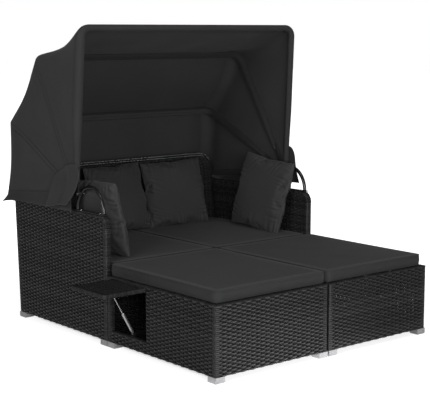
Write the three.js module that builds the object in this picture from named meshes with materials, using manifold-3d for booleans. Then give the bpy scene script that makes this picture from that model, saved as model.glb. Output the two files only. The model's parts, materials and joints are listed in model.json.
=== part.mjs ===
// An outdoor daybed: a woven sofa under a folding hood, with two woven ottomans pushed up to its
// seat, each with a flap table in its outer side. Millimetres, +Z up, +Y to the sofa's back,
// +X to the right of someone who stands in front of it. Every part stands on the floor at z = 0.
import * as THREE from "three";
import { mergeVertices } from "three/addons/utils/BufferGeometryUtils.js";
import Module from "manifold-3d";

const wasm = await Module();
wasm.setup();

// Plan of the set
const ottomanWidth = 710;
const ottomanGap = 10;
const ottomanDepth = 844;
const seamGap = 4;
const sofaDepth = 842;
const bodyTop = 364;
const footHeight = 30;
const footWidth = 56;
const footChamfer = 4;

// Woven panels: strands wound over a welded frame of square tube
const sofaTube = 28;
const tubeWall = 1.5;
const weaveWall = 5;
const weaveClearance = 1;
const ventRadius = 3;
const armHeight = 660;
const armCornerRadius = 60;
const backHeight = 806;
const backCornerRadius = 95;
const backLeanShare = 0.055;
const braidRadius = 11;
const braidTurnShare = 0.62;
const apronSetback = 2;
const apronFlange = 45;
const crossBarShares = [-0.33, 0.33];

// Clearances and cuts
const faceGap = 0.3;
const cutOverrun = 6;
const gridPerMillimetre = 1024;
const facetTolerance = 0.02;
const plateArcSteps = 6;

// Boxed cushions
const cushionThickness = 60;
const ottomanCushionInset = 16;
const cushionSeam = 1.5;
const cushionEdgeRadius = 9;
const cushionCornerRadius = 26;
const cushionCrown = 7;
const cushionBulge = 2;
const cushionDrawIn = 3;
const crownShares = [1, 0.86, 0.62, 0.32];
const topSinkShare = 0.45;

// Scatter pillows: half width and height, greatest thickness, and how far the sides draw in
const pillowHalf = 200;
const pillowThickness = 128;
const pillowDrawShare = 0.06;
const pillowFullnessShare = 0.42;
const pillowLean = 13;
const pillowSeatGap = 2;
const skewReachShare = 0.6;
const leanSteps = 20;

// Ottoman frame, its table opening and the flap that closes it
const ottomanTube = 20;
const rimWidth = 42;
const stileWidth = 36;
const openingWidth = 286;
const sillHeight = 90;
const flapThickness = 22;
const flapSillGap = 5;
const flapSideGap = 2;
const flapTopGap = 2;
const flapCornerRadius = 12;
const hingePinRadius = 3;
const pinClearance = 0.5;
const hingeBelowDeck = 21;
const flapRailGap = 4;

// Gas strut of the flap
const strutFootRise = 6;
const strutFootSetback = 33;
const strutSillDrop = 8;
const strutEyeOut = 96;
const strutEyeDrop = 39;
const strutCylinderRadius = 7.5;
const strutCylinderLength = 118;
const strutCylinderStart = 11;
const strutRodRadius = 3;
const strutRodLength = 126;
const strutEyeRadius = 6;
const strutEyeWidth = 8;
const strutEarGap = 0.5;
const strutEarThickness = 3;
const strutEarHalf = 8;
const strutPlateWidth = 34;

// Arch brackets on the arms, which carry the hood
const archTubeRadius = 10;
const archFront = 40;
const archSpan = 230;
const archRise = 130;
const archBaseWidth = 26;
const archBaseThickness = 5;
const archBaseOverhang = 16;
const archScrewRadius = 5;
const archScrewHeight = 4;
const archScrewInset = 30;
const pivotAngle = THREE.MathUtils.degToRad(44);
const pivotBoltRadius = 4;
const pivotHeadRadius = 9;
const pivotHeadHeight = 5;
const pivotHoleClearance = 0.6;

// Hood bows: round tube, flattened to a lug at each end
const bowTubeRadius = 9;
const bowTubeWall = 1.5;
const lugWidth = 24;
const lugThickness = 4;
const lugGap = 1;
const lugLength = 150;
const lugOverlap = 20;
const lugTaperShare = 0.55;
const hoodBehindBack = 65;
const rearBowAngle = 95.6;
const thirdBowAngle = 63.86;
const secondBowAngle = 30.33;
const frontBowAngle = -3.64;
const thirdReachShare = 1.048;
const secondReachShare = 1.107;
const frontReachShare = 1.175;
const rearBowInset = 21;
const thirdBowInset = 18;
const secondBowInset = 13;
const frontBowInset = 4;
const rearBowCorner = 60;
const secondBowCorner = 65;
const frontBowCorner = 45;

// Hood cloth
const clothThickness = 2.5;
const clothOverBow = 2.9;
const clothSag = 22;
const clothSideSag = 9;
const clothInnerReach = 62;
const clothJointGap = 1.7;
const frontHem = 15;
const rearHem = 24;
const skirtFront = 68;
const skirtRear = 232;
const skirtAbovePivot = 112;
const skirtAboveArm = 8;
const skirtFlare = 26;
const skirtFold = 7;
const skirtFoldCount = 3;

// Derived places
const halfWidth = ottomanWidth + ottomanGap / 2;
const panelThickness = sofaTube + 2 * (weaveWall + weaveClearance);
const innerHalf = halfWidth - panelThickness;
const deckTop = bodyTop;
const deckBottom = bodyTop - weaveWall;
const flapReach = deckTop - hingeBelowDeck - sillHeight - flapSillGap;
const strutFootHeight = sillHeight + strutFootRise;
const archX = halfWidth - panelThickness / 2;
const archCentreY = archFront + archSpan / 2;
const pivotY = archCentreY + (archSpan / 2) * Math.cos(pivotAngle);
const pivotZ = armHeight + archRise * Math.sin(pivotAngle);
const clothOffset = bowTubeRadius + clothOverBow;

function backFaceY(z) {
  return sofaDepth - panelThickness + backLeanShare * (z - footHeight);
}

// The four bows from back to front, all on one pivot: the rear one passes behind the back panel,
// and the others reach out in proportion to it
const rearReach = backFaceY(pivotZ) + panelThickness + hoodBehindBack - pivotY;
const bowSizes = [
  ["rear_bow", rearBowAngle, 1, rearBowInset, rearBowCorner],
  ["third_bow", thirdBowAngle, thirdReachShare, thirdBowInset, rearBowCorner],
  ["second_bow", secondBowAngle, secondReachShare, secondBowInset, secondBowCorner],
  ["front_bow", frontBowAngle, frontReachShare, frontBowInset, frontBowCorner],
];
const bowTable = bowSizes.map(([name, angle, reachShare, inset, corner]) => {
  return { name, angle, reach: rearReach * reachShare, half: halfWidth - inset, corner };
});

function surface(color, roughness, metalness) {
  return new THREE.MeshStandardMaterial({ color, roughness, metalness });
}
const weaveFinish = surface(0x1b1b1e, 0.45, 0);
const steelFinish = surface(0x101011, 0.35, 0.2);
const clothFinish = surface(0x232325, 0.85, 0);
const footFinish = surface(0xa8a9ab, 0.4, 0.5);
const chromeFinish = surface(0xc8c8ca, 0.2, 1);
const boardFinish = surface(0x17171a, 0.4, 0);

// Solids: closed geometry to a body that can be joined and cut, and back again
function solid(geometry) {
  const bare = geometry.clone();
  bare.deleteAttribute("normal");
  bare.deleteAttribute("uv");
  const merged = mergeVertices(bare, 1 / gridPerMillimetre);
  const points = new Float32Array(merged.attributes.position.array);
  const corners = new Uint32Array(merged.index.array);
  return new wasm.Manifold(new wasm.Mesh({ numProp: 3, vertProperties: points, triVerts: corners }));
}

function geometryOf(body) {
  const mesh = body.asOriginal().simplify(facetTolerance).getMesh();
  const geometry = new THREE.BufferGeometry();
  geometry.setAttribute("position", new THREE.BufferAttribute(new Float32Array(mesh.vertProperties), 3));
  geometry.setIndex(new THREE.BufferAttribute(new Uint32Array(mesh.triVerts), 1));
  geometry.computeVertexNormals();
  return geometry;
}

function joined(bodies) {
  return wasm.Manifold.union(bodies).asOriginal().simplify(facetTolerance);
}

// A box between two corners, which settle on a fine grid so that faces meant to meet do meet
function block(low, high) {
  const settled = (value) => Math.round(value * gridPerMillimetre) / gridPerMillimetre;
  const from = low.map(settled);
  const to = high.map(settled);
  const geometry = new THREE.BoxGeometry(...to.map((value, i) => value - from[i]));
  geometry.translate(...to.map((value, i) => (value + from[i]) / 2));
  return geometry;
}

// A round bar along one axis, from one place to another
function bar(axis, from, to, radius, sides, across) {
  const geometry = new THREE.CylinderGeometry(radius, radius, to - from, sides);
  geometry.translate(0, (from + to) / 2, 0);
  if (axis === "x") {
    geometry.rotateZ(-Math.PI / 2);
    geometry.translate(0, across[0], across[1]);
  } else if (axis === "y") {
    geometry.translate(across[0], 0, across[1]);
  } else {
    geometry.rotateX(Math.PI / 2);
    geometry.translate(across[0], across[1], 0);
  }
  return geometry;
}

function regularShape(radius, sides) {
  const points = [];
  for (let i = 0; i < sides; i++) {
    const turn = (2 * Math.PI * i) / sides;
    points.push(new THREE.Vector2(radius * Math.cos(turn), radius * Math.sin(turn)));
  }
  return new THREE.Shape(points);
}

function extruded(shape, depth, curveSegments) {
  return new THREE.ExtrudeGeometry(shape, { depth, bevelEnabled: false, curveSegments });
}

// A path through listed stations, with one ring of the tube at each of them
class StationPath extends THREE.Curve {
  constructor(points) {
    super();
    this.points = points;
  }
  getPoint(t, target = new THREE.Vector3()) {
    const place = t * (this.points.length - 1);
    const i = Math.min(Math.floor(place), this.points.length - 2);
    return target.lerpVectors(this.points[i], this.points[i + 1], place - i);
  }
  getTangent(t, target = new THREE.Vector3()) {
    const last = this.points.length - 1;
    const i = Math.round(t * last);
    const before = this.points[Math.max(i - 1, 0)];
    const after = this.points[Math.min(i + 1, last)];
    return target.subVectors(after, before).normalize();
  }
  getUtoTmapping(u) {
    return u;
  }
}

function tubeAlong(points, radius, sides, boreRadius) {
  const section = regularShape(radius, sides);
  if (boreRadius) section.holes.push(regularShape(boreRadius, sides));
  return new THREE.ExtrudeGeometry(section, {
    extrudePath: new StationPath(points),
    steps: points.length - 1,
  });
}

// Flat plates: an outline drawn in (y, z) and given a thickness along X, centred on x

function plateAcrossX(shape, thickness, x) {
  const geometry = extruded(shape, thickness, plateArcSteps);
  geometry.applyMatrix4(new THREE.Matrix4().makeBasis(
    new THREE.Vector3(0, 1, 0),
    new THREE.Vector3(0, 0, 1),
    new THREE.Vector3(1, 0, 0),
  ));
  geometry.translate(x - thickness / 2, 0, 0);
  return geometry;
}

// The same for an outline drawn in (x, z), with its front face at y = front
function plateAcrossY(shape, thickness, front) {
  const geometry = extruded(shape, thickness, plateArcSteps);
  geometry.rotateX(Math.PI / 2);
  geometry.translate(0, front + thickness, 0);
  return geometry;
}

// Leans a piece back with the sofa's back panel: y grows with height
function leaned(geometry) {
  const place = geometry.attributes.position;
  for (let i = 0; i < place.count; i++) {
    place.setY(i, place.getY(i) + backLeanShare * (place.getZ(i) - footHeight));
  }
  return geometry;
}

// Square tube frames: the outer boxes joined, less the same boxes inside their walls
function tubeFrame(members, vent) {
  const outer = joined(members.map(([low, high]) => solid(block(low, high))));
  const inner = joined(members.map(([low, high]) => solid(block(
    low.map((value) => value + tubeWall),
    high.map((value) => value - tubeWall),
  ))));
  return outer.subtract(inner).subtract(solid(vent));
}

// Side of the sofa: the arm's outline, drawn in by one amount all round and another at the floor
function sideShape(inset, floorInset) {
  const bottom = footHeight + floorInset;
  const top = armHeight - inset;
  const radius = armCornerRadius - inset;
  const shape = new THREE.Shape();
  shape.moveTo(inset, bottom);
  shape.lineTo(sofaDepth - inset + backLeanShare * (bottom - footHeight), bottom);
  shape.lineTo(sofaDepth - inset + backLeanShare * (top - footHeight), top);
  shape.lineTo(inset + radius, top);
  shape.absarc(inset + radius, top - radius, radius, Math.PI / 2, Math.PI, false);
  shape.closePath();
  return shape;
}

// Back panel between the arms, with its two top corners rounded
function backShape(inset, floorInset) {
  const half = innerHalf - faceGap - inset;
  const bottom = footHeight + floorInset;
  const top = backHeight - inset;
  const radius = backCornerRadius - inset;
  const shape = new THREE.Shape();
  shape.moveTo(-half, bottom);
  shape.lineTo(half, bottom);
  shape.lineTo(half, top - radius);
  shape.absarc(half - radius, top - radius, radius, 0, Math.PI / 2, false);
  shape.lineTo(-half + radius, top);
  shape.absarc(-half + radius, top - radius, radius, Math.PI / 2, Math.PI, false);
  shape.closePath();
  return shape;
}

// A woven panel is a bag over its frame, open at the floor; the frame is hollow tube
function wovenPanel(shapeAt, plate) {
  const bag = solid(plate(shapeAt(0, 0), panelThickness, 0));
  const room = solid(plate(shapeAt(weaveWall, -cutOverrun), panelThickness - 2 * weaveWall, weaveWall));
  return bag.subtract(room);
}

function panelFrame(shapeAt, plate, rail, vent) {
  const skin = weaveWall + weaveClearance;
  const body = (wall) => {
    const depth = sofaTube - 2 * wall;
    const outside = solid(plate(shapeAt(skin + wall, wall), depth, skin + wall));
    const inside = sofaTube - wall;
    const opening = shapeAt(skin + inside, inside);
    const window = solid(plate(opening, sofaTube + cutOverrun, skin - cutOverrun / 2));
    return outside.subtract(window).add(solid(rail(wall)));
  };
  return body(0).subtract(body(tubeWall)).subtract(solid(vent));
}

function sidePlate(side) {
  return (shape, thickness, fromInner) =>
    plateAcrossX(shape, thickness, side * (innerHalf + fromInner + thickness / 2));
}

function backPlate(shape, thickness, fromFront) {
  return leaned(plateAcrossY(shape, thickness, sofaDepth - panelThickness + fromFront));
}

function sideFrame(side) {
  const skin = weaveWall + weaveClearance;
  const inner = innerHalf + skin;
  const railTop = deckBottom;
  const rail = (wall) => {
    const xs = [side * (inner + wall), side * (inner + sofaTube - wall)].sort((a, b) => a - b);
    return block(
      [xs[0], skin + wall, railTop - sofaTube + wall],
      [xs[1], sofaDepth - skin - sofaTube / 2, railTop - wall],
    );
  };
  const vent = bar("z", footHeight - cutOverrun, footHeight + cutOverrun, ventRadius, 6, [
    side * (inner + sofaTube / 2),
    sofaDepth / 2,
  ]);
  return panelFrame(sideShape, sidePlate(side), rail, vent);
}

function backFrame() {
  const skin = weaveWall + weaveClearance;
  const front = backFaceY(deckTop) + skin;
  const rail = (wall) => block(
    [-sofaTube / 2 + wall, sofaDepth - panelThickness + skin + wall, footHeight + wall],
    [sofaTube / 2 - wall, sofaDepth - skin - wall, backHeight - skin - wall],
  );
  const vent = bar("z", footHeight - cutOverrun, footHeight + cutOverrun, ventRadius, 6, [
    innerHalf / 2,
    front - sofaTube / 2 + weaveClearance,
  ]);
  return panelFrame(backShape, backPlate, (wall) => leaned(rail(wall)), vent);
}

// Rope braid laid along the back panel's top edge, from one arm to the other
function backBraid() {
  const half = innerHalf - faceGap - backCornerRadius;
  const radius = backCornerRadius + braidRadius + 2 * faceGap;
  const cornerSteps = 5;
  const points = [];
  const centreY = sofaDepth - panelThickness / 2;
  const cornerZ = backHeight - backCornerRadius;
  for (const side of [-1, 1]) {
    for (let i = 0; i <= cornerSteps; i++) {
      const turn = ((side < 0 ? cornerSteps - i : i) / cornerSteps) * (Math.PI / 2) * braidTurnShare;
      const upright = Math.PI / 2 - turn;
      const x = side * (half + radius * Math.cos(upright));
      const z = cornerZ + radius * Math.sin(upright);
      points.push(new THREE.Vector3(x, centreY, z));
    }
  }
  return leaned(tubeAlong(points, braidRadius, 8));
}

// Seat frame, apron and deck between the arms
function seatFrame() {
  const side = innerHalf - faceGap;
  const front = apronSetback + weaveWall + weaveClearance;
  const top = deckBottom - faceGap;
  const rear = backFaceY(footHeight) - faceGap;
  const t = sofaTube;
  const foot = footHeight;
  const members = [
    [[-side, front, top - t], [side, front + t, top]],
    [[-side, rear - t, top - t], [side, rear, top]],
    [[-side, front, top - t], [-side + t, rear, top]],
    [[side - t, front, top - t], [side, rear, top]],
    [[-side, front, foot], [side, front + t, foot + t]],
    [[-side, front, foot], [-side + t, front + t, top]],
    [[side - t, front, foot], [side, front + t, top]],
    [[-t / 2, front, foot], [t / 2, front + t, top]],
    [[-side, rear - t, foot], [-side + t, rear, top]],
    [[side - t, rear - t, foot], [side, rear, top]],
  ];
  for (const share of crossBarShares) {
    members.push([[share * side - t / 2, front, top - t], [share * side + t / 2, rear, top]]);
  }
  const vent = bar("z", foot - cutOverrun, foot + cutOverrun, ventRadius, 6, [side / 2, front + t / 2]);
  return tubeFrame(members, vent);
}

function apron() {
  const front = apronSetback;
  const shape = new THREE.Shape();
  shape.moveTo(front, footHeight);
  shape.lineTo(front + weaveWall, footHeight);
  shape.lineTo(front + weaveWall, deckBottom);
  shape.lineTo(front + apronFlange, deckBottom);
  shape.lineTo(front + apronFlange, deckTop);
  shape.lineTo(front, deckTop);
  shape.closePath();
  return plateAcrossX(shape, 2 * (innerHalf - faceGap), 0);
}

// A foot block with its lower edges chamfered, under the corner given by its middle
function foot(x, y) {
  const corner = footWidth / Math.SQRT2;
  const lower = corner - footChamfer * Math.SQRT2;
  const profile = [
    new THREE.Vector2(0, 0),
    new THREE.Vector2(lower, 0),
    new THREE.Vector2(corner, footChamfer),
    new THREE.Vector2(corner, footHeight),
    new THREE.Vector2(0, footHeight),
  ];
  const geometry = new THREE.LatheGeometry(profile, 4);
  geometry.rotateY(Math.PI / 4);
  geometry.rotateX(Math.PI / 2);
  geometry.translate(x, y, 0);
  return geometry;
}

// Builds a closed surface from rings of equal length, with a point at each end
function ringedSolid(rings, lowPoint, highPoint) {
  const count = rings[0].length;
  const points = [lowPoint, ...rings.flat(), highPoint];
  const faces = [];
  const at = (ring, i) => 1 + ring * count + ((i + count) % count);
  for (let i = 0; i < count; i++) {
    faces.push(0, at(0, i + 1), at(0, i));
    for (let ring = 0; ring < rings.length - 1; ring++) {
      faces.push(at(ring, i), at(ring, i + 1), at(ring + 1, i + 1));
      faces.push(at(ring, i), at(ring + 1, i + 1), at(ring + 1, i));
    }
    faces.push(at(rings.length - 1, i), at(rings.length - 1, i + 1), points.length - 1);
  }
  const geometry = new THREE.BufferGeometry().setFromPoints(points);
  geometry.setIndex(faces);
  geometry.computeVertexNormals();
  return geometry;
}

// Outline of a boxed cushion: points with their outward directions, round corners, and sides
// that draw in towards their middles
function cushionOutline(halfX, halfY) {
  const cornerSteps = 3;
  const sideSteps = 4;
  const points = [];
  for (let quarter = 0; quarter < 4; quarter++) {
    const start = (quarter * Math.PI) / 2;
    const signX = quarter === 0 || quarter === 3 ? 1 : -1;
    const signY = quarter < 2 ? 1 : -1;
    const cx = signX * (halfX - cushionCornerRadius);
    const cy = signY * (halfY - cushionCornerRadius);
    for (let i = 0; i <= cornerSteps; i++) {
      const turn = start + ((i / cornerSteps) * Math.PI) / 2;
      const nx = Math.cos(turn);
      const ny = Math.sin(turn);
      points.push({ x: cx + cushionCornerRadius * nx, y: cy + cushionCornerRadius * ny, nx, ny });
    }
    const along = quarter % 2 === 0 ? halfX : halfY;
    const reach = along - cushionCornerRadius;
    const turn = start + Math.PI / 2;
    for (let i = 1; i < sideSteps; i++) {
      const share = 1 - (2 * i) / sideSteps;
      const drawn = cushionDrawIn * (1 - share * share);
      const nx = Math.round(Math.cos(turn));
      const ny = Math.round(Math.sin(turn));
      const out = (quarter % 2 === 0 ? halfY : halfX) - drawn;
      points.push({
        x: nx === 0 ? signX * share * reach : nx * out,
        y: ny === 0 ? signY * share * reach : ny * out,
        nx,
        ny,
      });
    }
  }
  return points;
}

// Height of a cushion's crowned top over its nominal thickness, at shares of its half sizes
function crownRise(u, v) {
  return cushionCrown * ((1 - u * u) * (1 - v * v) - topSinkShare);
}

function boxedCushion([x0, x1], [y0, y1], bottom) {
  const halfX = (x1 - x0) / 2;
  const halfY = (y1 - y0) / 2;
  const top = bottom + cushionThickness;
  const edge = cushionEdgeRadius;
  const outline = cushionOutline(halfX, halfY);
  const ring = (inset, z) => outline.map((p) =>
    new THREE.Vector3(p.x - p.nx * inset, p.y - p.ny * inset, z),
  );
  const crowned = (share) => outline.map((p) => {
    const x = (p.x - p.nx * edge) * share;
    const y = (p.y - p.ny * edge) * share;
    return new THREE.Vector3(x, y, top + crownRise(x / halfX, y / halfY));
  });
  const rings = [
    ring(edge + cushionBulge, bottom),
    ring(cushionBulge, bottom + edge),
    ring(0, bottom + cushionThickness / 2),
    ring(cushionBulge, top - edge),
    ...crownShares.map(crowned),
  ];
  const geometry = ringedSolid(
    rings,
    new THREE.Vector3(0, 0, bottom),
    new THREE.Vector3(0, 0, top + crownRise(0, 0)),
  );
  geometry.translate((x0 + x1) / 2, (y0 + y1) / 2, 0);
  return geometry;
}

// A scatter pillow: two crowned faces joined round a pinched square seam
function pillow() {
  const steps = 12;
  const place = (i) => Math.sin(((2 * i) / steps - 1) * (Math.PI / 2));
  const points = [];
  const front = [];
  const back = [];
  const add = (x, y, z) => points.push(new THREE.Vector3(x, y, z)) - 1;
  for (let i = 0; i <= steps; i++) {
    front.push([]);
    back.push([]);
    for (let j = 0; j <= steps; j++) {
      const u = place(i);
      const v = place(j);
      const x = pillowHalf * u * (1 - pillowDrawShare * (1 - v * v));
      const z = pillowHalf * v * (1 - pillowDrawShare * (1 - u * u));
      const fill = Math.max((1 - u * u) * (1 - v * v), 0) ** pillowFullnessShare;
      const thick = (pillowThickness / 2) * fill;
      const seam = i === 0 || j === 0 || i === steps || j === steps;
      front[i].push(add(x, seam ? 0 : -thick, z));
      back[i].push(seam ? front[i][j] : add(x, thick, z));
    }
  }
  const faces = [];
  for (let i = 0; i < steps; i++) {
    for (let j = 0; j < steps; j++) {
      const f = [front[i][j], front[i + 1][j], front[i + 1][j + 1], front[i][j + 1]];
      const b = [back[i][j], back[i][j + 1], back[i + 1][j + 1], back[i + 1][j]];
      faces.push(f[0], f[1], f[2], f[0], f[2], f[3], b[0], b[1], b[2], b[0], b[2], b[3]);
    }
  }
  const geometry = new THREE.BufferGeometry().setFromPoints(points);
  geometry.setIndex(faces);
  geometry.computeVertexNormals();
  return geometry;
}

// Where the pillows lean: on an arm or on the back, how far along it, their turn, and how far
// they settle into the cushion's crown
const pillowTable = [
  { name: "left_arm_pillow", rests: "left", alongShare: 0.3, turn: 94, settle: 0.6 },
  { name: "back_left_pillow", rests: "back", alongShare: -0.15, turn: 7, settle: 0 },
  { name: "back_right_pillow", rests: "back", alongShare: 0.52, turn: -5, settle: 0 },
  { name: "right_arm_pillow", rests: "right", alongShare: 0.35, turn: -88, settle: 0 },
];

// How far a leaning pillow reaches behind its middle, up to a height above that middle
function leanReach(lean, highest) {
  let reach = 0;
  for (let height = 0; height <= highest; height += highest / leanSteps) {
    const share = height / pillowHalf;
    const belly = (pillowThickness / 2) * (1 - share * share) ** pillowFullnessShare;
    reach = Math.max(reach, belly * Math.cos(lean) + height * Math.sin(lean));
  }
  return reach;
}

// Height of the crowned seat cushions at a place on the sofa
function seatHeight(x, y) {
  const rear = backFaceY(deckTop);
  const u = (2 * Math.abs(x) - innerHalf) / (innerHalf - 2 * cushionSeam);
  const v = (2 * y - rear) / (rear - 2 * cushionSeam);
  return deckTop + faceGap + cushionThickness + crownRise(u, v);
}

// A pillow leans on its arm or back and stands on its two lower corners
function pillowPlace({ rests, alongShare, turn, settle }) {
  const lean = THREE.MathUtils.degToRad(pillowLean);
  const heading = THREE.MathUtils.degToRad(turn);
  const rise = pillowHalf * Math.cos(lean) + faceGap;
  const level = deckTop + cushionThickness + rise;
  let x = alongShare * innerHalf;
  let y = backFaceY(level) - leanReach(lean, pillowHalf) - pillowSeatGap;
  if (rests !== "back") {
    const skew = Math.abs(Math.cos(heading)) * pillowHalf * skewReachShare;
    const leanTop = Math.min(pivotZ - level, pillowHalf);
    x = innerHalf - leanReach(lean, leanTop) - skew - pillowSeatGap;
    if (rests === "left") x = -x;
    y = alongShare * sofaDepth;
  }
  const ahead = -pillowHalf * Math.sin(lean);
  const seats = [-pillowHalf, pillowHalf].map((along) => seatHeight(
    x + along * Math.cos(heading) - ahead * Math.sin(heading),
    y + along * Math.sin(heading) + ahead * Math.cos(heading),
  ));
  return [x, y, Math.max(...seats) + rise - settle];
}

function archBracket(side) {
  const stations = 14;
  const points = [];
  for (let i = 0; i <= stations; i++) {
    const turn = Math.PI - (i / stations) * Math.PI;
    const y = archCentreY + (archSpan / 2) * Math.cos(turn);
    const z = armHeight + archBaseThickness / 2 + (archRise - archBaseThickness / 2) * Math.sin(turn);
    points.push(new THREE.Vector3(side * archX, y, z));
  }
  const half = archBaseWidth / 2;
  const base = block(
    [side * archX - half, archFront - archBaseOverhang, armHeight],
    [side * archX + half, archFront + archSpan + archBaseOverhang, armHeight + archBaseThickness],
  );
  const plateTop = armHeight + archBaseThickness;
  const screwEnds = [plateTop - archScrewHeight / 2, plateTop + archScrewHeight];
  const screws = [archFront + archScrewInset, archFront + archSpan - archScrewInset].map((y) =>
    solid(bar("z", ...screwEnds, archScrewRadius, 8, [side * archX, y])),
  );
  const hole = bar(
    "x",
    side * archX - archTubeRadius - cutOverrun,
    side * archX + archTubeRadius + cutOverrun,
    pivotBoltRadius + pivotHoleClearance,
    12,
    [pivotY, pivotZ],
  );
  const tube = solid(tubeAlong(points, archTubeRadius, 8));
  return joined([tube, solid(base), ...screws]).subtract(solid(hole));
}

function lugX(index) {
  return archX + archTubeRadius + faceGap + lugThickness / 2 + index * (lugThickness + lugGap);
}

function pivotBolt(side) {
  const outer = lugX(bowTable.length - 1) + lugThickness / 2 + faceGap;
  const inner = archX - archTubeRadius - faceGap;
  const ends = (a, b) => [Math.min(side * a, side * b), Math.max(side * a, side * b)];
  const across = [pivotY, pivotZ];
  const shank = ends(inner - pivotHeadHeight, outer + pivotHeadHeight / 2);
  return joined([
    solid(bar("x", ...shank, pivotBoltRadius, 12, across)),
    solid(bar("x", ...ends(outer, outer + pivotHeadHeight), pivotHeadRadius, 12, across)),
    solid(bar("x", ...ends(inner - pivotHeadHeight, inner), pivotHeadRadius, 6, across)),
  ]);
}

// A bow's centre line in its own plane: across X and out from the pivot, with the outward
// direction at each station; it runs from the left lug over the top to the right lug
function bowLine(bow, index, startReach, steps) {
  const stations = [];
  const foot = lugX(index);
  const shoulder = bow.reach - bow.corner;
  const xAt = (reach) => foot + ((bow.half - foot) * (reach - lugLength)) / (shoulder - lugLength);
  for (let i = 0; i < steps.leg; i++) {
    const reach = startReach + ((shoulder - startReach) * i) / steps.leg;
    stations.push({ x: -xAt(reach), reach, outX: -1, outR: 0 });
  }
  for (let i = 0; i <= steps.corner; i++) {
    const turn = ((i / steps.corner) * Math.PI) / 2;
    stations.push({
      x: -(bow.half - bow.corner) - bow.corner * Math.cos(turn),
      reach: shoulder + bow.corner * Math.sin(turn),
      outX: -Math.cos(turn),
      outR: Math.sin(turn),
    });
  }
  const half = bow.half - bow.corner;
  for (let i = 1; i < steps.bar; i++) {
    stations.push({ x: -half + (2 * half * i) / steps.bar, reach: bow.reach, outX: 0, outR: 1 });
  }
  const mirrored = stations
    .slice(0, steps.leg + steps.corner + 1)
    .reverse()
    .map((s) => ({ x: -s.x, reach: s.reach, outX: -s.outX, outR: s.outR }));
  return [...stations, ...mirrored];
}

// From a bow's plane to the model: out from the pivot at the bow's angle, which is measured
// from the upright towards the back, and optionally ahead of the plane by a distance
function fromBowPlane(angle, x, reach, ahead = 0) {
  return new THREE.Vector3(
    x,
    pivotY + reach * Math.sin(angle) + ahead * Math.cos(angle),
    pivotZ + reach * Math.cos(angle) - ahead * Math.sin(angle),
  );
}

function lug(bow, index, side) {
  const half = lugWidth / 2;
  const end = lugLength + lugOverlap;
  const shape = new THREE.Shape();
  shape.moveTo(0, half);
  shape.absarc(0, 0, half, Math.PI / 2, (3 * Math.PI) / 2, false);
  shape.lineTo(end, -half * lugTaperShare);
  shape.lineTo(end, half * lugTaperShare);
  shape.closePath();
  const hole = bar("x", -lugThickness, lugThickness, pivotBoltRadius + pivotHoleClearance, 12, [0, 0]);
  const plate = solid(plateAcrossX(shape, lugThickness, 0)).subtract(solid(hole));
  const geometry = geometryOf(plate);
  geometry.rotateX(Math.PI / 2 - THREE.MathUtils.degToRad(bow.angle));
  geometry.translate(side * lugX(index), pivotY, pivotZ);
  return solid(geometry);
}

function bowBody(bow, index) {
  const angle = THREE.MathUtils.degToRad(bow.angle);
  const line = bowLine(bow, index, lugLength, { leg: 1, corner: 5, bar: 1 });
  const points = line.map((s) => fromBowPlane(angle, s.x, s.reach));
  const tube = solid(tubeAlong(points, bowTubeRadius, 8, bowTubeRadius - bowTubeWall));
  return joined([tube, lug(bow, index, -1), lug(bow, index, 1)]);
}

// A sheet of even thickness from a grid of points, closed round its edges
function sheet(grid, thickness) {
  const rows = grid.length;
  const columns = grid[0].length;
  const near = (i, j) => grid[Math.min(Math.max(i, 0), rows - 1)][Math.min(Math.max(j, 0), columns - 1)];
  const outer = [];
  const inner = [];
  const alongRow = new THREE.Vector3();
  const alongColumn = new THREE.Vector3();
  const out = new THREE.Vector3();
  for (let i = 0; i < rows; i++) {
    for (let j = 0; j < columns; j++) {
      alongRow.subVectors(near(i, j + 1), near(i, j - 1)).normalize();
      alongColumn.subVectors(near(i + 1, j), near(i - 1, j)).normalize();
      out.crossVectors(alongRow, alongColumn).normalize().multiplyScalar(thickness / 2);
      outer.push(grid[i][j].clone().add(out));
      inner.push(grid[i][j].clone().sub(out));
    }
  }
  const size = rows * columns;
  const top = (i, j) => i * columns + j;
  const under = (i, j) => size + i * columns + j;
  const faces = [];
  const quad = (a, b, c, d) => faces.push(a, b, c, a, c, d);
  for (let i = 0; i < rows - 1; i++) {
    for (let j = 0; j < columns - 1; j++) {
      quad(top(i, j), top(i, j + 1), top(i + 1, j + 1), top(i + 1, j));
      quad(under(i, j), under(i + 1, j), under(i + 1, j + 1), under(i, j + 1));
    }
  }
  for (let j = 0; j < columns - 1; j++) {
    quad(top(0, j), under(0, j), under(0, j + 1), top(0, j + 1));
    quad(top(rows - 1, j + 1), under(rows - 1, j + 1), under(rows - 1, j), top(rows - 1, j));
  }
  for (let i = 0; i < rows - 1; i++) {
    quad(top(i + 1, 0), under(i + 1, 0), under(i, 0), top(i, 0));
    quad(top(i, columns - 1), under(i, columns - 1), under(i + 1, columns - 1), top(i + 1, columns - 1));
  }
  const geometry = new THREE.BufferGeometry().setFromPoints([...outer, ...inner]);
  geometry.setIndex(faces);
  geometry.computeVertexNormals();
  return geometry;
}

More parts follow.
